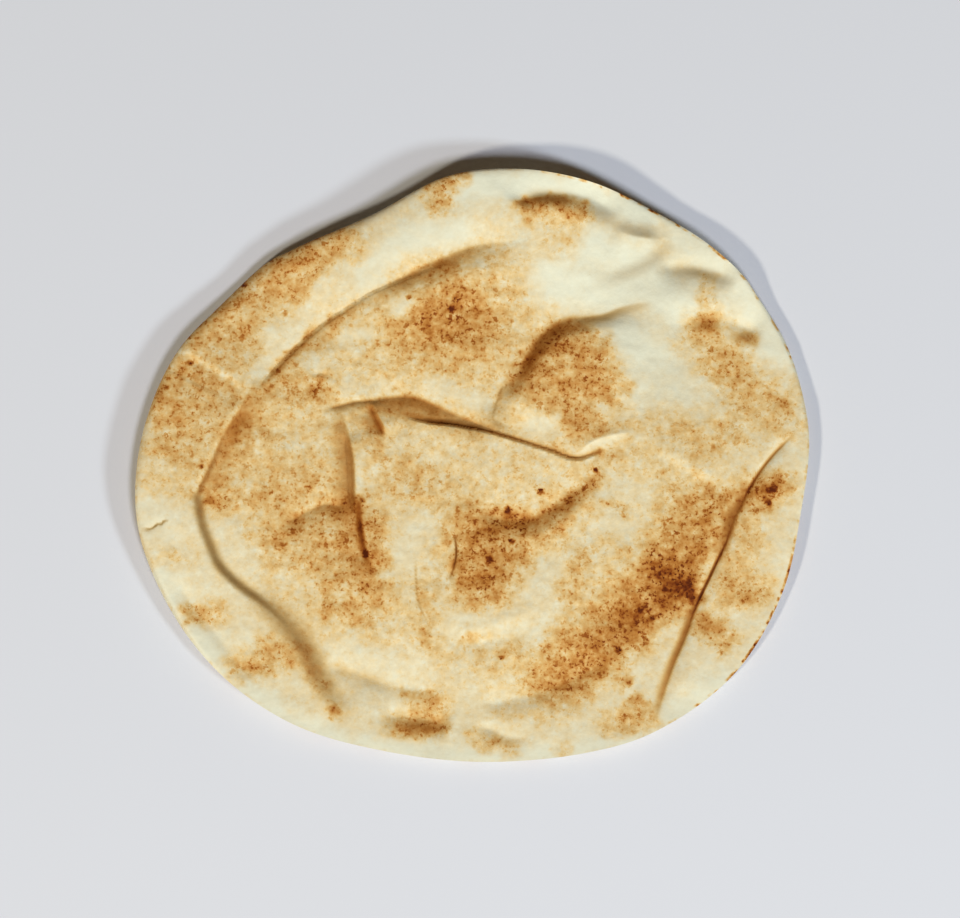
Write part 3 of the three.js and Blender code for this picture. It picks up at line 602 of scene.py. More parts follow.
# How the skin changes with its browning or its crease: between two levels, from one value to another
LIVELINESS = (0.2, 1.0), (0.25, 1.0)
BLOOM_GAIN = (1.2, 2.0), (1.0, 0.4)
SPECK_SHARE = (0.5, 2.0), (0.03, 0.44)
ROUGHNESS = (0.3, 2.8), (0.86, 0.7)
OPEN_SKIN = (0.2, 1.2), (1.0, 0.35)

# Power of the browning with which blotches grow
BLOTCH_POWER = 0.6

# Browning that a speck adds: its slope over the skin's own, its start, its least, and the darkest's slope
SPECK_SLOPE = 0.9
SPECK_START = -0.35
SPECK_LEAST = 0.1
DARKEST_SPECK_SLOPE = 0.8

# Strength of the mottling on the top and on the base
TOP_MOTTLING = 0.62
BASE_MOTTLING = 0.5

# Grain: the coarse part's size beside the fine one's, the fine part's weight and the bump's strength
COARSE_GRAIN_SIZE = 3.0
FINE_GRAIN_WEIGHT = 0.5
GRAIN_STRENGTH = 0.6

# The floor, in metres, and its look
FLOOR_HALF = 1.5
FLOOR_DROP = 0.00003
FLOOR_CLOUDS = 6.0
FLOOR_CLOUD_DETAIL = 3.0
FLOOR_CLOUD_SHADE = 0.985
FLOOR_ROUGHNESS = 0.95
FLOOR_GLOSS = 0.1


class Lamp(NamedTuple):
    """A round light: its power, its colour, its azimuth and height in degrees, and its width."""

    power: float
    colour: tuple
    azimuth: float
    height: float
    width: float


LAMPS = {
    "warm": Lamp(81.5, (255, 247, 223), 228, 38, 420),
    "cool": Lamp(74.5, (232, 246, 251), -40, 32, 550),
    "front": Lamp(81.0, (246, 249, 255), 290, 55, 900),
}

# Way to the camera, in degrees from +X
CAMERA_AZIMUTH = -90


def linear(red, green, blue):
    """A screen colour as the light that it stands for."""
    shares = np.array((red, green, blue)) / 255
    return tuple(np.where(shares < 0.04045, shares / 12.92, ((shares + 0.055) / 1.055) ** 2.4))


def ease(t):
    t = np.clip(t, 0, 1)
    return t * t * (3 - 2 * t)


def smooth_curve(points, steps, closed=False):
    """Points on a curve that passes smoothly through the given ones, with as many steps between each two."""
    p = np.array(points, float)
    before, after = (p[-1], p[:2]) if closed else (2 * p[0] - p[1], [2 * p[-1] - p[-2]])
    p = np.vstack([before, p, after])
    t = np.linspace(0, 1, steps, endpoint=False)[:, None]
    pieces = []
    for p0, p1, p2, p3 in zip(p, p[1:], p[2:], p[3:]):
        d0, d1, d2 = (np.sqrt(np.linalg.norm(b - a)) for a, b in ((p0, p1), (p1, p2), (p2, p3)))
        leave = ((p1 - p0) / d0 - (p2 - p0) / (d0 + d1) + (p2 - p1) / d1) * d1
        arrive = ((p2 - p1) / d1 - (p3 - p1) / (d1 + d2) + (p3 - p2) / d2) * d1
        bend = 2 * (p1 - p2) + leave + arrive
        swing = 3 * (p2 - p1) - 2 * leave - arrive
        pieces.append(((bend * t + swing) * t + leave) * t + p1)
    curve = np.vstack(pieces)
    return curve if closed else np.vstack([curve, p[-2]])


def around(pairs, degrees):
    """The value at an angle between the neighbouring pairs, rounded off over a few degrees."""
    grid = np.arange(-ROUNDED_OVER, 361 + ROUNDED_OVER)
    window = np.hanning(ROUNDED_OVER + 2)
    values = np.interp(grid, *zip(*pairs), period=360)
    return np.interp(degrees, grid, np.convolve(values, window / window.sum(), "same"))


def degrees_of(x, y):
    return np.degrees(np.arctan2(y, x)) % 360


EDGE_CURVE = smooth_curve(OUTLINE, OUTLINE_STEPS // len(OUTLINE), closed=True)
EDGE_CURVE = EDGE_CURVE[np.argsort(degrees_of(*EDGE_CURVE.T))]
EDGE_DEGREES = degrees_of(*EDGE_CURVE.T)
EDGE_RADIUS = np.hypot(*EDGE_CURVE.T)


def edge_radius(degrees):
    return np.interp(degrees, EDGE_DEGREES, EDGE_RADIUS, period=360)


def beside(track, x, y):
    """How far points lie from a path, on which side (left is +), how far along it, its length and way."""
    distance = np.full(x.shape, np.inf)
    offset, run, ux, uy = (np.zeros(x.shape) for _ in range(4))
    travelled = 0.0
    for (ax, ay), (bx, by) in zip(track[:-1], track[1:]):
        length = math.hypot(bx - ax, by - ay)
        dx, dy = (bx - ax) / length, (by - ay) / length
        along = np.clip((x - ax) * dx + (y - ay) * dy, 0, length)
        gap = np.hypot(x - ax - along * dx, y - ay - along * dy)
        closer = gap < distance
        side = np.where(dx * (y - ay) - dy * (x - ax) < 0, -1.0, 1.0)
        distance = np.where(closer, gap, distance)
        offset = np.where(closer, gap * side, offset)
        run = np.where(closer, travelled + along, run)
        ux = np.where(closer, dx, ux)
        uy = np.where(closer, dy, uy)
        travelled += length
    return distance, offset, run, travelled, ux, uy


def near_path(path, reach, x, y):
    """The points in a path's box widened by a reach, and how they lie beside the smoothed path."""
    low, high = np.min(path, axis=0) - reach, np.max(path, axis=0) + reach
    near = np.flatnonzero((x > low[0]) & (x < high[0]) & (y > low[1]) & (y < high[1]))
    return near, *beside(smooth_curve(path, PATH_STEPS), x[near], y[near])


def fade_along(fold, run, length):
    return ease(run / fold.fade[0]) * ease((length - run) / fold.fade[1])


def along_path(values, run, length):
    """Values that are given at even steps along a path."""
    return np.interp(run / length, np.linspace(0, 1, len(values)), values)


def add_fold(height, fold, strength, x, y):
    """Adds a fold's relief to the heights."""
    reach = FOLD_ENDS * max(fold.left[1], fold.right[1])
    near, distance, offset, run, length, _, _ = near_path(fold.path, reach, x, y)
    if fold.wall:
        left_share = ease(0.5 + 0.5 * offset / fold.wall)
    else:
        left_share = (offset >= 0).astype(float)
    left, right = (
        rise * np.exp(-((distance / side) ** fold.power)) for rise, side in (fold.left, fold.right)
    )
    relief = left_share * left + (1 - left_share) * right
    height[near] += strength * along_path(fold.grow, run, length) * fade_along(fold, run, length) * relief


def mound_height(mound, x, y):
    angle = math.radians(mound.turn)
    dx, dy = x - mound.centre[0], y - mound.centre[1]
    u = (dx * math.cos(angle) + dy * math.sin(angle)) / mound.size[0]
    v = (dy * math.cos(angle) - dx * math.sin(angle)) / mound.size[1]
    return mound.height * np.exp(-u * u - v * v)


def ripples(x, y, waves):
    """A smooth uneven field: for each wavelength, waves of about that length in all directions."""
    total = np.zeros(x.shape)
    for wavelength, seed, weight in waves:
        chance = np.random.default_rng(seed)
        field = np.zeros(x.shape)
        for _ in range(WAVE_COUNT):
            angle, phase = chance.uniform(0, 2 * math.pi, 2)
            wave = 2 * math.pi / (wavelength * chance.uniform(*WAVE_SPREAD))
            field += np.cos(wave * (x * math.cos(angle) + y * math.sin(angle)) + phase)
        total += weight * math.sqrt(2 / WAVE_COUNT) * field
    return total


def drawn_towards_folds(x, y):
    """Moves plan points near a sharp fold to the crest or foot of its wall, so that the wall stays clean."""
    share = np.hypot(x, y) / edge_radius(degrees_of(x, y))
    hold = 1 - ease((share - DRAW_ENDS) / (BASE_ENDS - DRAW_ENDS))
    for fold in FOLDS.values():
        if fold.wall > SHARP_WALL or (not fold.wall and fold.power > SHARP_POWER):
            continue
        near, distance, offset, run, length, ux, uy = near_path(fold.path, DRAW_REACH, x, y)
        beyond = (DRAW_REACH - fold.wall) * (distance / DRAW_REACH) ** DRAW_POWER
        move = (fold.wall + beyond - distance) * np.sign(offset) * fade_along(fold, run, length) * hold[near]
        move = np.where(distance < DRAW_REACH, move, 0)
        x[near] -= uy * move
        y[near] += ux * move
    return x, y


def on_rim(share):
    """From 0 inside the rim to 1 where it is full."""
    return ease((share - RIM_STARTS) / (RIM_FULL - RIM_STARTS))


def top_height(x, y, shape):
    degrees = degrees_of(x, y)
    radius = edge_radius(degrees)
    share = np.minimum(np.hypot(x, y) / radius, 1)
    rise = ease((share - RISE_STARTS) / (RIM_FULL - RISE_STARTS))
    skin = CENTRE_HEIGHT + (around(RIM_HEIGHT, degrees) - CENTRE_HEIGHT) * rise
    for fold in FOLDS.values():
        add_fold(skin, fold, shape.fold_strength, x, y)
    for mound in MOUNDS.values():
        skin += mound_height(mound, x, y)
    skin += shape.unevenness / MM * ripples(x, y, BROAD_WAVES)
    skin += shape.pimples / MM * (1 - PIMPLES_LOST * on_rim(share)) * ripples(x, y, PIMPLE_WAVES)
    lip = around(LIP_WIDTH, degrees)
    edge = around(EDGE_HEIGHT, degrees)
    edge = skin + (edge - skin) * ease((lip - THIN_LIP) / (ROUND_LIP - THIN_LIP))
    outwards = np.clip(1 - radius * (1 - share) / lip, 0, 1)
    return edge + (skin - edge) * np.sqrt(1 - outwards**LIP_SQUARENESS)


def base_height(degrees, share):
    lift = around(EDGE_HEIGHT, degrees) - EDGE_HALF_THICKNESS
    return lift * ease((share - BASE_FLAT) / (BASE_ENDS - BASE_FLAT))


def plan(degrees, reach):
    """Plan points at angles and distances from the middle."""
    return reach * np.cos(np.radians(degrees)), reach * np.sin(np.radians(degrees))


def ring_places(rings):
    """The angle and the share of the way out of each point, ring by ring from the middle."""
    degrees, share = [np.zeros(1)], [np.zeros(1)]
    for ring in range(1, rings + 1):
        degrees.append(60 * np.arange(6 * ring) / ring)
        share.append(np.full(6 * ring, ring / rings))
    return np.concatenate(degrees), np.concatenate(share)


def ring_start(ring):
    return 0 if ring == 0 else 1 + 3 * ring * (ring - 1)


def ring_triangles(rings):
    """Triangles between the rings, anticlockwise seen from above."""
    triangles = []
    for ring in range(1, rings + 1):
        step = np.arange(6 * ring)
        sector, i = step // ring, step % ring
        inner_count = max(6 * (ring - 1), 1)
        out = ring_start(ring) + step
        out_next = ring_start(ring) + (step + 1) % (6 * ring)
        inn = ring_start(ring - 1) + (sector * (ring - 1) + i) % inner_count
        inn_next = ring_start(ring - 1) + (sector * (ring - 1) + i + 1) % inner_count
        triangles.append(np.column_stack([inn, out, out_next]))
        between = i < ring - 1
        triangles.append(np.column_stack([inn, out_next, inn_next])[between])
    return np.vstack(triangles)


def seal_triangles(rings, base_start):
    """The sealed edge: each step of the underside's last ring meets three steps of the top's."""
    step = np.arange(6 * rings)
    corner = base_start + ring_start(rings) + step
    corner_next = base_start + ring_start(rings) + (step + 1) % len(step)
    edge_start = ring_start(rings * STEPS_TO_ONE)
    edge_count = len(step) * STEPS_TO_ONE
    edge = [edge_start + (STEPS_TO_ONE * step + k) % edge_count for k in range(STEPS_TO_ONE + 1)]
    triangles = [(corner, edge[k + 1], edge[k]) for k in range(STEPS_TO_ONE - 1)]
    triangles += [(corner, corner_next, edge[-2]), (corner_next, edge[-1], edge[-2])]
    return np.vstack([np.column_stack(corners) for corners in triangles])


def browning(x, y, share):
    """How toasted the top is: soft-edged strokes laid over a pale rim and a tanned middle."""
    level = INNER_BROWNING + (RIM_BROWNING - INNER_BROWNING) * on_rim(share)
    wandered = (x + ripples(x, y, WANDER_X), y + ripples(x, y, WANDER_Y))
    for strokes in TOAST.values():
        for stroke in (Toast(*row) for row in strokes):
            place = (x, y) if stroke.softness < CRISP else wandered
            if len(stroke.path) == 1:
                distance = np.hypot(place[0] - stroke.path[0][0], place[1] - stroke.path[0][1])
            else:
                distance = beside(stroke.path, *place)[0]
            wide = stroke.half_width * (1 + stroke.softness)
            cover = ease((wide - distance) / (2 * stroke.softness * stroke.half_width))
            level += (stroke.level - level) * cover
    dots = ease((share - EDGE_DOTS_START) / EDGE_DOTS_COME_IN)
    dots *= ease(EDGE_DOTS_COVER + ripples(x, y, EDGE_DOT_WAVES))
    edge_level = around(EDGE_TOAST, degrees_of(x, y))
    return np.where(edge_level > level, level + (edge_level - level) * dots, level)


def crease_browning_and_shade(x, y):
    """How much more browning the creases give the skin, toast in part and painted warm shade in part, and
    the share of its brightness that painted shade takes away there.
    """
    toast_and_shade, shade_share = np.zeros(x.shape), np.zeros(x.shape)
    for crease in CREASES.values():
        reach = CREASE_ENDS * max(crease.left, crease.right)
        near, distance, offset, run, length, _, _ = near_path(crease.path, reach, x, y)
        fade = np.where(offset >= 0, crease.left, crease.right)
        here = along_path(crease.toast_and_shade, run, length) * np.exp(-((distance / fade) ** CREASE_FILL))
        toast_and_shade[near] = np.maximum(toast_and_shade[near], here)
        shade_share[near] = np.maximum(shade_share[near], crease.shade_share * here / max(crease.toast_and_shade))
    return toast_and_shade, shade_share


def add_values(mesh, name, kind, domain, values):
    """Keeps one value for each point or edge of the mesh."""
    layer = mesh.attributes.new(name, kind, domain)
    layer.data.foreach_set("value", values)


def smooth_mesh(name, points, faces, slots):
    """A smooth mesh of triangles, with the material slot of each."""
    mesh = bpy.data.meshes.new(name)
    mesh.vertices.add(len(points))
    mesh.vertices.foreach_set("co", (points * MM).astype(np.float32).ravel())
    mesh.loops.add(faces.size)
    mesh.loops.foreach_set("vertex_index", faces.astype(np.int32).ravel())
    mesh.polygons.add(len(faces))
    mesh.polygons.foreach_set("loop_start", np.arange(0, faces.size, 3, dtype=np.int32))
    mesh.polygons.foreach_set("material_index", slots)
    mesh.polygons.foreach_set("use_smooth", np.ones(len(faces), bool))
    mesh.update(calc_edges=True)
    if mesh.validate():
        raise RuntimeError("the bread's mesh had faults")
    return mesh


def bread_mesh(shape):
    """The bread's closed skin, with its browning, painted shade and a map for baking."""
    top_rings = shape.rings * STEPS_TO_ONE
    degrees, way = ring_places(top_rings)
    share = way * (1 + RING_CROWDING * (1 - way))
    x, y = drawn_towards_folds(*plan(degrees, share * edge_radius(degrees)))
    top = np.column_stack([x, y, top_height(x, y, shape)])
    base_start = len(top)

    base_degrees, base_way = ring_places(shape.rings)
    base_share = BASE_ENDS * base_way
    base_x, base_y = plan(base_degrees, base_share * edge_radius(base_degrees))
    base = np.column_stack([base_x, base_y, base_height(base_degrees, base_share)])

    points = np.vstack([top, base])
    points[:, :2] -= (points[:, :2].min(0) + points[:, :2].max(0)) / 2
    top_faces = ring_triangles(top_rings)
    base_faces = base_start + ring_triangles(shape.rings)[:, [0, 2, 1]]
    seal = seal_triangles(shape.rings, base_start)
    faces = np.vstack([top_faces, base_faces, seal])
    under = (np.arange(len(faces)) >= len(top_faces)).astype(np.int32)
    mesh = smooth_mesh("pita_crust", points, faces, under)

    ends = np.empty(2 * len(mesh.edges), np.int32)
    mesh.edges.foreach_get("vertices", ends)
    on_edge = (ends >= ring_start(top_rings)) & (ends < base_start)
    add_values(mesh, "sharp_edge", "BOOLEAN", "EDGE", on_edge.reshape(-1, 2).all(1))

    base_toast = np.clip(BASE_BROWNING + ripples(base_x, base_y, BASE_TOAST_WAVES), *BASE_BROWNING_RANGE)
    creases, dimness = (np.concatenate([values, np.zeros(len(base))]) for values in crease_browning_and_shade(x, y))
    toast = np.concatenate([browning(x, y, share), base_toast])
    for name, values in (("toast", toast), ("crease", creases), ("dimness", dimness)):
        add_values(mesh, name, "FLOAT", "POINT", values.astype(np.float32))

    # On the baking map the top takes the upper two thirds and the underside the rest
    disc = np.vstack([np.column_stack(plan(degrees, way)), np.column_stack(plan(base_degrees, base_way))])
    place = BASE_MIDDLE + BASE_HALF * disc
    place[:base_start] = TOP_MIDDLE + TOP_HALF * disc[:base_start]
    corners = place[faces]
    of_top = seal < base_start
    corners[-len(seal):][of_top] = (BASE_MIDDLE + BASE_HALF * SEAL_WIDENING * disc[seal])[of_top]
    layer = mesh.uv_layers.new(name="OFBake")
    layer.data.foreach_set("uv", corners.astype(np.float32).ravel())
    return mesh


class Nodes:
    """Adds nodes to one tree. An input is set to a value, or linked to another node's output."""

    def __init__(self, tree):
        self.tree = tree

    def feed(self, socket, value):
        if isinstance(value, bpy.types.NodeSocket):
            self.tree.links.new(value, socket)
        else:
            socket.default_value = value

    def add(self, kind, inputs=None, **settings):
        """Adds a node, sets its settings and then its inputs, and gives its outputs."""
        node = self.tree.nodes.new(kind)
        for name, value in settings.items():
            setattr(node, name, value)
        for name, value in (inputs or {}).items():
            self.feed(node.inputs[name], value)
        return node.outputs

    def group(self, tree, inputs):
        return self.add("ShaderNodeGroup", inputs, node_tree=tree)

    def math(self, operation, *values):
        return self.add("ShaderNodeMath", dict(enumerate(values)), operation=operation)[0]

    def times(self, first, second):
        return self.math("MULTIPLY", first, second)

    def times_plus(self, first, second, added):
        return self.math("MULTIPLY_ADD", first, second, added)

    def vector(self, operation, inputs):
        return self.add("ShaderNodeVectorMath", inputs, operation=operation)[0]

    def remap(self, value, levels, values=(0.0, 1.0), shape="LINEAR"):
        """A value that runs between two others while the given one runs between two levels."""
        inputs = {"Value": value, "From Min": levels[0], "From Max": levels[1]}
        inputs.update({"To Min": values[0], "To Max": values[1]})
        return self.add("ShaderNodeMapRange", inputs, interpolation_type=shape)[0]

    def noise(self, place, size, detail=2.0, roughness=0.55):
        """A soft noise about 0 whose patches have the given size."""
        scale = self.math("DIVIDE", 1.0, size)
        inputs = {"Vector": place, "Scale": scale, "Detail": detail, "Roughness": roughness}
        return self.math("SUBTRACT", self.add("ShaderNodeTexNoise", inputs)[0], 0.5)


def new_group(name, inputs, outputs):
    """An empty node group with named sockets: what adds its nodes, what it is given and what it gives."""
    tree = bpy.data.node_groups.new(name, "ShaderNodeTree")
    for end, sockets in (("INPUT", inputs), ("OUTPUT", outputs)):
        for socket, kind in sockets.items():
            tree.interface.new_socket(socket, in_out=end, socket_type=f"NodeSocket{kind}")
    return Nodes(tree), tree.nodes.new("NodeGroupInput").outputs, tree.nodes.new("NodeGroupOutput").inputs


def mottling_group():
    """Uneven skin: blotches and freckles of browning, and a bloom that only changes the brightness."""
    nodes, given, out = new_group(
        "Mottled skin",
        {"Place": "Vector", "Blotch size": "Float", "Freckle size": "Float"},
        {"Blotches": "Float", "Freckles": "Float", "Bloom": "Float"},
    )
    place, freckle_size = given["Place"], given["Freckle size"]
    blotch = nodes.noise(place, given["Blotch size"], *BLOTCH_NOISE)
    nodes.feed(out["Blotches"], nodes.times(blotch, BLOTCH_STRENGTH))

    freckle = nodes.noise(place, freckle_size, *FRECKLE_NOISE)
    fine = nodes.noise(place, nodes.times(freckle_size, FINE_FRECKLE_SIZE), *FRECKLE_NOISE)
    both = nodes.times_plus(fine, FINE_FRECKLE_WEIGHT, freckle)
    spots = nodes.remap(both, SPOT_RANGE, shape="SMOOTHSTEP")
    total = nodes.times_plus(spots, SPOT_STRENGTH, nodes.times(both, FRECKLE_STRENGTH))
    nodes.feed(out["Freckles"], nodes.math("SUBTRACT", total, FRECKLE_MEAN))

    shifted = nodes.vector("ADD", {0: place, 1: BLOOM_SHIFT})
    small = nodes.noise(shifted, freckle_size)
    broad = nodes.noise(shifted, nodes.times(freckle_size, BROAD_BLOOM_SIZE), detail=1.0)
    bloom = nodes.times_plus(broad, BROAD_BLOOM_STRENGTH, nodes.times(small, BLOOM_STRENGTH))
    nodes.feed(out["Bloom"], bloom)
    return nodes.tree


def speck_layer(nodes, place, spacing, share):
    """Ragged dots of chance sizes and strengths: a share of them in the cells of a given spacing."""
    scale = nodes.math("DIVIDE", 1.0, spacing)
    ragged_scale = nodes.times(scale, SPECK_RAGGEDNESS)
    ragged = nodes.add("ShaderNodeTexNoise", {"Vector": place, "Scale": ragged_scale, "Detail": 1.0})
    shift = nodes.vector("SUBTRACT", {0: ragged["Color"], 1: (0.5, 0.5, 0.5)})
    shift = nodes.vector("SCALE", {0: shift, "Scale": nodes.times(spacing, SPECK_SHIFT)})
    shifted = nodes.vector("ADD", {0: place, 1: shift})
    cells = nodes.add("ShaderNodeTexVoronoi", {"Vector": shifted, "Scale": scale, "Randomness": 1.0},
                      voronoi_dimensions="2D")
    chance = nodes.add("ShaderNodeSeparateColor", {"Color": cells["Color"]})
    chosen = nodes.math("LESS_THAN", chance[0], share)
    least, spread = SPECK_RADIUS
    near = nodes.math("DIVIDE", cells["Distance"], nodes.times_plus(chance[1], spread, least))
    dot = nodes.remap(near, SPECK_BORDER, (1.0, 0.0), "SMOOTHSTEP")
    least, spread = SPECK_STRENGTH
    return nodes.times(nodes.times(dot, nodes.times_plus(chance[2], spread, least)), chosen)


def specks_group():
    """Small and larger dark specks, more of them where the skin is more toasted."""
    nodes, given, out = new_group(
        "Dark specks",
        {"Place": "Vector", "Speck size": "Float", "Share": "Float"},
        {"Specks": "Float"},
    )
    place, spacing, share = given["Place"], given["Speck size"], given["Share"]
    small = speck_layer(nodes, place, spacing, share)
    wider = nodes.times(spacing, LARGE_SPECK_SPACING)
    large = speck_layer(nodes, place, wider, nodes.times(share, LARGE_SPECK_SHARE))
    nodes.feed(out["Specks"], nodes.times_plus(small, SMALL_SPECK_STRENGTH, large))
    return nodes.tree


def toast_colour_group(finish):
    """The colour of skin by its browning, from white dough to charred."""
    nodes, given, out = new_group("Toast colour", {"Browning": "Float"}, {"Colour": "Color"})
    ramp = nodes.tree.nodes.new("ShaderNodeValToRGB")
    stops = ramp.color_ramp.elements
    while len(stops) < len(SHADES):
        stops.new(0.5)
    for stop, (name, shade) in zip(stops, SHADES.items()):
        stop.position = shade.level / RAMP_END
        stop.color = (*getattr(finish, name), 1)
    nodes.feed(ramp.inputs[0], nodes.math("DIVIDE", given["Browning"], RAMP_END))
    nodes.feed(out["Colour"], ramp.outputs[0])
    return nodes.tree


def grain_group():
    """The skin's fine unevenness, as a height for bump."""
    sockets = {"Place": "Vector", "Grain size": "Float"}
    nodes, given, out = new_group("Skin grain", sockets, {"Height": "Float"})
    coarse = nodes.noise(given["Place"], nodes.times(given["Grain size"], COARSE_GRAIN_SIZE))
    fine = nodes.noise(given["Place"], given["Grain size"])
    nodes.feed(out["Height"], nodes.times_plus(fine, FINE_GRAIN_WEIGHT, coarse))
    return nodes.tree


def new_material(name):
    """A material, what adds its nodes, the inputs of its shader and the place on the object."""
    material = bpy.data.materials.new(name)
    material.use_nodes = True
    nodes = Nodes(material.node_tree)
    shader = material.node_tree.nodes["Principled BSDF"].inputs
    return material, nodes, shader, nodes.add("ShaderNodeTexCoord")["Object"]


def skin_material(name, groups, finish, mottling_strength):
    """Toasted skin: its browning comes from the mesh, made uneven by blotches, freckles and specks, with
    painted shade in its creases.
    """
    material, nodes, shader, place = new_material(name)
    toast, crease, dimness = (
        nodes.add("ShaderNodeAttribute", attribute_name=layer)["Fac"]
        for layer in ("toast", "crease", "dimness")
    )
    # Mottling fades in the creases, under their browning and painted shade
    open_skin = nodes.remap(crease, *OPEN_SKIN)
    liveliness = nodes.remap(toast, *LIVELINESS)

    mottling = nodes.group(groups["mottling"], {
        "Place": place, "Blotch size": finish.blotch_size, "Freckle size": finish.freckle_size,
    })
    gain = nodes.times(liveliness, nodes.times(open_skin, mottling_strength))
    blotch_gain = nodes.times(nodes.math("POWER", toast, BLOTCH_POWER), gain)
    level = nodes.times_plus(mottling["Blotches"], blotch_gain, toast)
    level = nodes.times_plus(mottling["Freckles"], nodes.times(toast, gain), level)

    specks = nodes.group(groups["specks"], {
        "Place": place, "Speck size": finish.speck_size, "Share": nodes.remap(toast, *SPECK_SHARE),
    })
    speck_gain = nodes.math("MAXIMUM", nodes.times_plus(toast, SPECK_SLOPE, SPECK_START), SPECK_LEAST)
    speck_gain = nodes.times(nodes.times(speck_gain, open_skin), finish.speck_darkness)
    darkest = nodes.times_plus(toast, DARKEST_SPECK_SLOPE, finish.darkest_speck)
    level = nodes.math("MINIMUM", nodes.times_plus(specks["Specks"], speck_gain, level), darkest)
    # Browning of the creases: toast in part, painted warm shade in part
    level = nodes.math("ADD", level, crease)

    colour = nodes.group(groups["colour"], {"Browning": level})
    bloom_gain = nodes.times(nodes.remap(toast, *BLOOM_GAIN), liveliness)
    bloom = nodes.times_plus(mottling["Bloom"], bloom_gain, BLOOM_MEAN)
    # Painted shade of the creases and shaded stretches takes a share of the brightness
    brightness = nodes.times(bloom, nodes.math("SUBTRACT", 1.0, dimness))
    nodes.feed(shader["Base Color"], nodes.vector("SCALE", {0: colour["Colour"], "Scale": brightness}))

    nodes.feed(shader["Roughness"], nodes.remap(level, *ROUGHNESS))
    nodes.feed(shader["Specular IOR Level"], finish.gloss)

    grain = nodes.group(groups["grain"], {"Place": place, "Grain size": finish.grain_size})
    bump = {"Height": grain["Height"], "Strength": GRAIN_STRENGTH, "Distance": finish.grain_depth}
    nodes.feed(shader["Normal"], nodes.add("ShaderNodeBump", bump)[0])
    return material


def paper_material(stage):
    """The pale matt floor."""
    material, nodes, shader, place = new_material("pale_floor")
    cloud = nodes.add("ShaderNodeTexNoise",
                      {"Vector": place, "Scale": FLOOR_CLOUDS, "Detail": FLOOR_CLOUD_DETAIL})[0]
    shaded = (*(FLOOR_CLOUD_SHADE * part for part in stage.floor_colour), 1)
    plain = (*stage.floor_colour, 1)
    mix = nodes.add("ShaderNodeMix", {"Factor": cloud, 6: shaded, 7: plain}, data_type="RGBA")
    nodes.feed(shader["Base Color"], mix[2])
    nodes.feed(shader["Roughness"], FLOOR_ROUGHNESS)
    nodes.feed(shader["Specular IOR Level"], FLOOR_GLOSS)
    return material


def direction(azimuth, height):
    """The way towards a light or camera: azimuth from +X towards +Y, and height above the floor."""
    flat = math.cos(height)
    return Vector((math.cos(azimuth) * flat, math.sin(azimuth) * flat, math.sin(height)))


def number_property(name, description, default, **settings):
    return FloatProperty(name=name, description=description, default=default, **settings)


def colour_property(name, description, colour):
    return FloatVectorProperty(name=name, description=description, subtype="COLOR", size=3, min=0, max=1,
                               default=linear(*colour))


def length_property(name, description, millimetres):
    return number_property(name, description, millimetres * MM, unit="LENGTH", precision=5)


def angle_property(name, description, degrees):
    return number_property(name, description, math.radians(degrees), subtype="ANGLE")


def lamp_properties(name, lamp):
    """The settings of one of the stage's lights."""
    title, light = name.capitalize(), f"the {name} light"
    return {
        f"{name}_power": number_property(f"{title} light", f"Power of {light}", lamp.power, unit="POWER"),
        f"{name}_colour": colour_property(f"{title} colour", f"Colour of {light}", lamp.colour),
        f"{name}_azimuth": angle_property(f"{title} light's azimuth", f"Way to {light}, from +X towards +Y",
                                          lamp.azimuth),
        f"{name}_height": angle_property(f"{title} light's height", f"Height of {light} above the floor",
                                         lamp.height),
        f"{name}_size": length_property(f"{title} light's size", f"Width of {light}", lamp.width),
    }


class BreadShape(PropertyGroup):
    """The relief of the bread's skin."""

    rings: IntProperty(name="Rings", description="Rings of the underside's mesh, a third of the top's",
                       default=56, min=8, max=56)
    fold_strength: number_property("Fold strength", "Height of the folds, as a share of the real ones'", 1.0,
                                   min=0, max=2)
    unevenness: length_property("Unevenness", "Height of the skin's broad waves", 0.12)
    pimples: length_property("Pimples", "Height of the skin's small bumps", 0.035)


class CrustFinish(PropertyGroup):
    """The colours and marks of the bread's skin."""

    blotch_size: length_property("Blotch size", "Size of the broad blotches", 4.2)
    freckle_size: length_property("Freckle size", "Size of the freckles", 1.7)
    speck_size: length_property("Speck spacing", "Distance between specks where they are densest", 1.35)
    speck_darkness: number_property("Speck darkness", "Browning that a speck adds", 1.05)
    darkest_speck: number_property("Darkest speck", "Browning past which no speck on white skin goes", 1.7)
    gloss: number_property("Gloss", "Strength of the skin's mirror reflection", 0.1)
    grain_size: length_property("Grain size", "Size of the skin's grain", 0.6)
    grain_depth: length_property("Grain depth", "Depth of the skin's grain", 0.15)


CrustFinish.__annotations__.update({
    name: colour_property(name.replace("_", " ").capitalize(), shade.description, shade.colour)
    for name, shade in SHADES.items()
})


class StageSetup(PropertyGroup):
    """The floor, lights and camera."""

    floor_colour: colour_property("Floor colour", "Colour of the pale floor", (219, 221, 230))
    light_distance: length_property("Light distance", "Distance of the lights from the bread", 4000)
    fill: number_property("Fill", "Brightness of the light from all round", 0.075)
    fill_colour: colour_property("Fill colour", "Colour of the light from all round", (255, 222, 175))
    camera_height: angle_property("Camera height", "Height of the camera above the floor", 80)
    camera_distance: length_property("Camera distance", "Distance of the camera from the bread", 2744)
    lens: number_property("Lens", "Focal length in millimetres", 300.0)
    aim: FloatVectorProperty(name="Aim", description="Point at the picture's middle", subtype="XYZ",
                             unit="LENGTH", default=(2.55 * MM, 2.1 * MM, 5.0 * MM))


for name, lamp in LAMPS.items():
    StageSetup.__annotations__.update(lamp_properties(name, lamp))


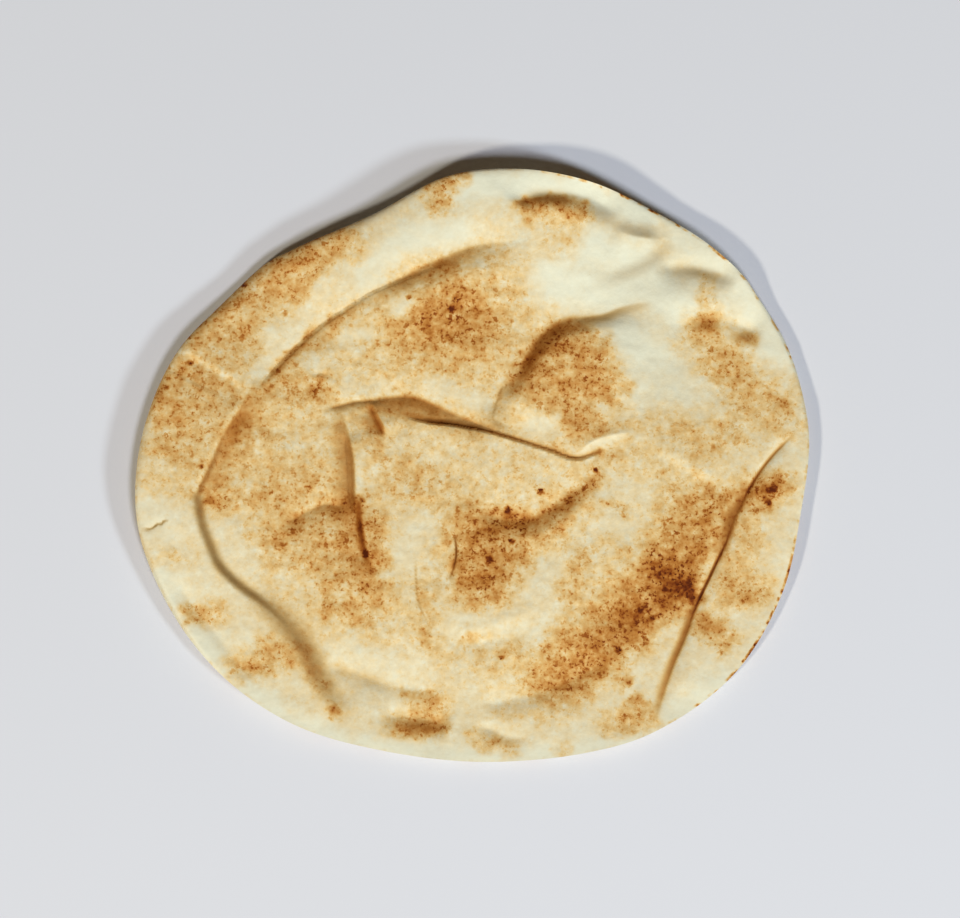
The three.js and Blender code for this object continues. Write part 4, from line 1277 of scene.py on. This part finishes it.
class PITA_OT_bread(Operator):
    """Bake the bread: its folded, toasted skin over the solid"""

    bl_idname = "pita.bread"
    bl_label = "Bake the bread"

    def execute(self, context):
        scene = context.scene
        mesh = bread_mesh(scene.pita_shape)
        finish = scene.pita_finish
        groups = {
            "mottling": mottling_group(),
            "specks": specks_group(),
            "colour": toast_colour_group(finish),
            "grain": grain_group(),
        }
        mesh.materials.append(skin_material("toasted_top_skin", groups, finish, TOP_MOTTLING))
        mesh.materials.append(skin_material("baked_underside_skin", groups, finish, BASE_MOTTLING))
        bread = bpy.data.objects.new("pita_crust", mesh)
        scene.collection.objects.link(bread)
        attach(bread, "root")
        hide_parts("pita_bread")
        return {"FINISHED"}


class PITA_OT_stage(Operator):
    """Set the stage: pale floor, three lights, fill and the camera"""

    bl_idname = "pita.stage"
    bl_label = "Set the stage"

    def execute(self, context):
        scene = context.scene
        stage = scene.pita_stage
        square = ((-1, -1), (1, -1), (1, 1), (-1, 1))
        corners = [(x * FLOOR_HALF, y * FLOOR_HALF, -FLOOR_DROP) for x, y in square]
        floor_mesh = bpy.data.meshes.new("floor")
        floor_mesh.from_pydata(corners, [], [(0, 1, 2, 3)])
        floor_mesh.materials.append(paper_material(stage))
        floor = bpy.data.objects.new("floor", floor_mesh)
        scene.collection.objects.link(floor)

        for name in LAMPS:
            lamp = bpy.data.lights.new(f"{name}_light", "AREA")
            lamp.shape = "DISK"
            lamp.size = getattr(stage, f"{name}_size")
            lamp.energy = getattr(stage, f"{name}_power")
            lamp.color = getattr(stage, f"{name}_colour")
            way = direction(getattr(stage, f"{name}_azimuth"), getattr(stage, f"{name}_height"))
            light = bpy.data.objects.new(f"{name}_light", lamp)
            light.location = way * stage.light_distance
            light.rotation_euler = way.to_track_quat("Z", "Y").to_euler()
            scene.collection.objects.link(light)

        world = bpy.data.worlds.new("fill")
        world.use_nodes = True
        background = world.node_tree.nodes["Background"]
        background.inputs["Color"].default_value = (*stage.fill_colour, 1)
        background.inputs["Strength"].default_value = stage.fill
        scene.world = world

        lens = bpy.data.cameras.new("camera")
        lens.lens = stage.lens
        camera = bpy.data.objects.new("camera", lens)
        back = direction(math.radians(CAMERA_AZIMUTH), stage.camera_height)
        camera.location = Vector(stage.aim) + back * stage.camera_distance
        camera.rotation_euler = back.to_track_quat("Z", "Y").to_euler()
        scene.collection.objects.link(camera)
        scene.camera = camera
        scene.view_settings.view_transform = "Standard"
        return {"FINISHED"}


class PITA_PT_sidebar(Panel):
    """Sizes, colours and steps of the pita bread"""

    bl_idname = "PITA_PT_sidebar"
    bl_label = "Pita bread"
    bl_space_type = "VIEW_3D"
    bl_region_type = "UI"
    bl_category = "Pita"

    def draw(self, context):
        scene = context.scene
        for settings, operator in (
            ((scene.pita_shape, scene.pita_finish), PITA_OT_bread),
            ((scene.pita_stage,), PITA_OT_stage),
        ):
            box = self.layout.box()
            for group in settings:
                for name in group.__annotations__:
                    box.prop(group, name)
            box.operator(operator.bl_idname)


CLASSES = (BreadShape, CrustFinish, StageSetup, PITA_OT_bread, PITA_OT_stage, PITA_PT_sidebar)


def register():
    for cls in CLASSES:
        bpy.utils.register_class(cls)
    bpy.types.Scene.pita_shape = PointerProperty(type=BreadShape)
    bpy.types.Scene.pita_finish = PointerProperty(type=CrustFinish)
    bpy.types.Scene.pita_stage = PointerProperty(type=StageSetup)


def unregister():
    del bpy.types.Scene.pita_shape
    del bpy.types.Scene.pita_finish
    del bpy.types.Scene.pita_stage
    for cls in reversed(CLASSES):
        bpy.utils.unregister_class(cls)


def main():
    register()
    bpy.ops.pita.bread()
    bpy.ops.pita.stage()


if __name__ == "__main__":
    main()
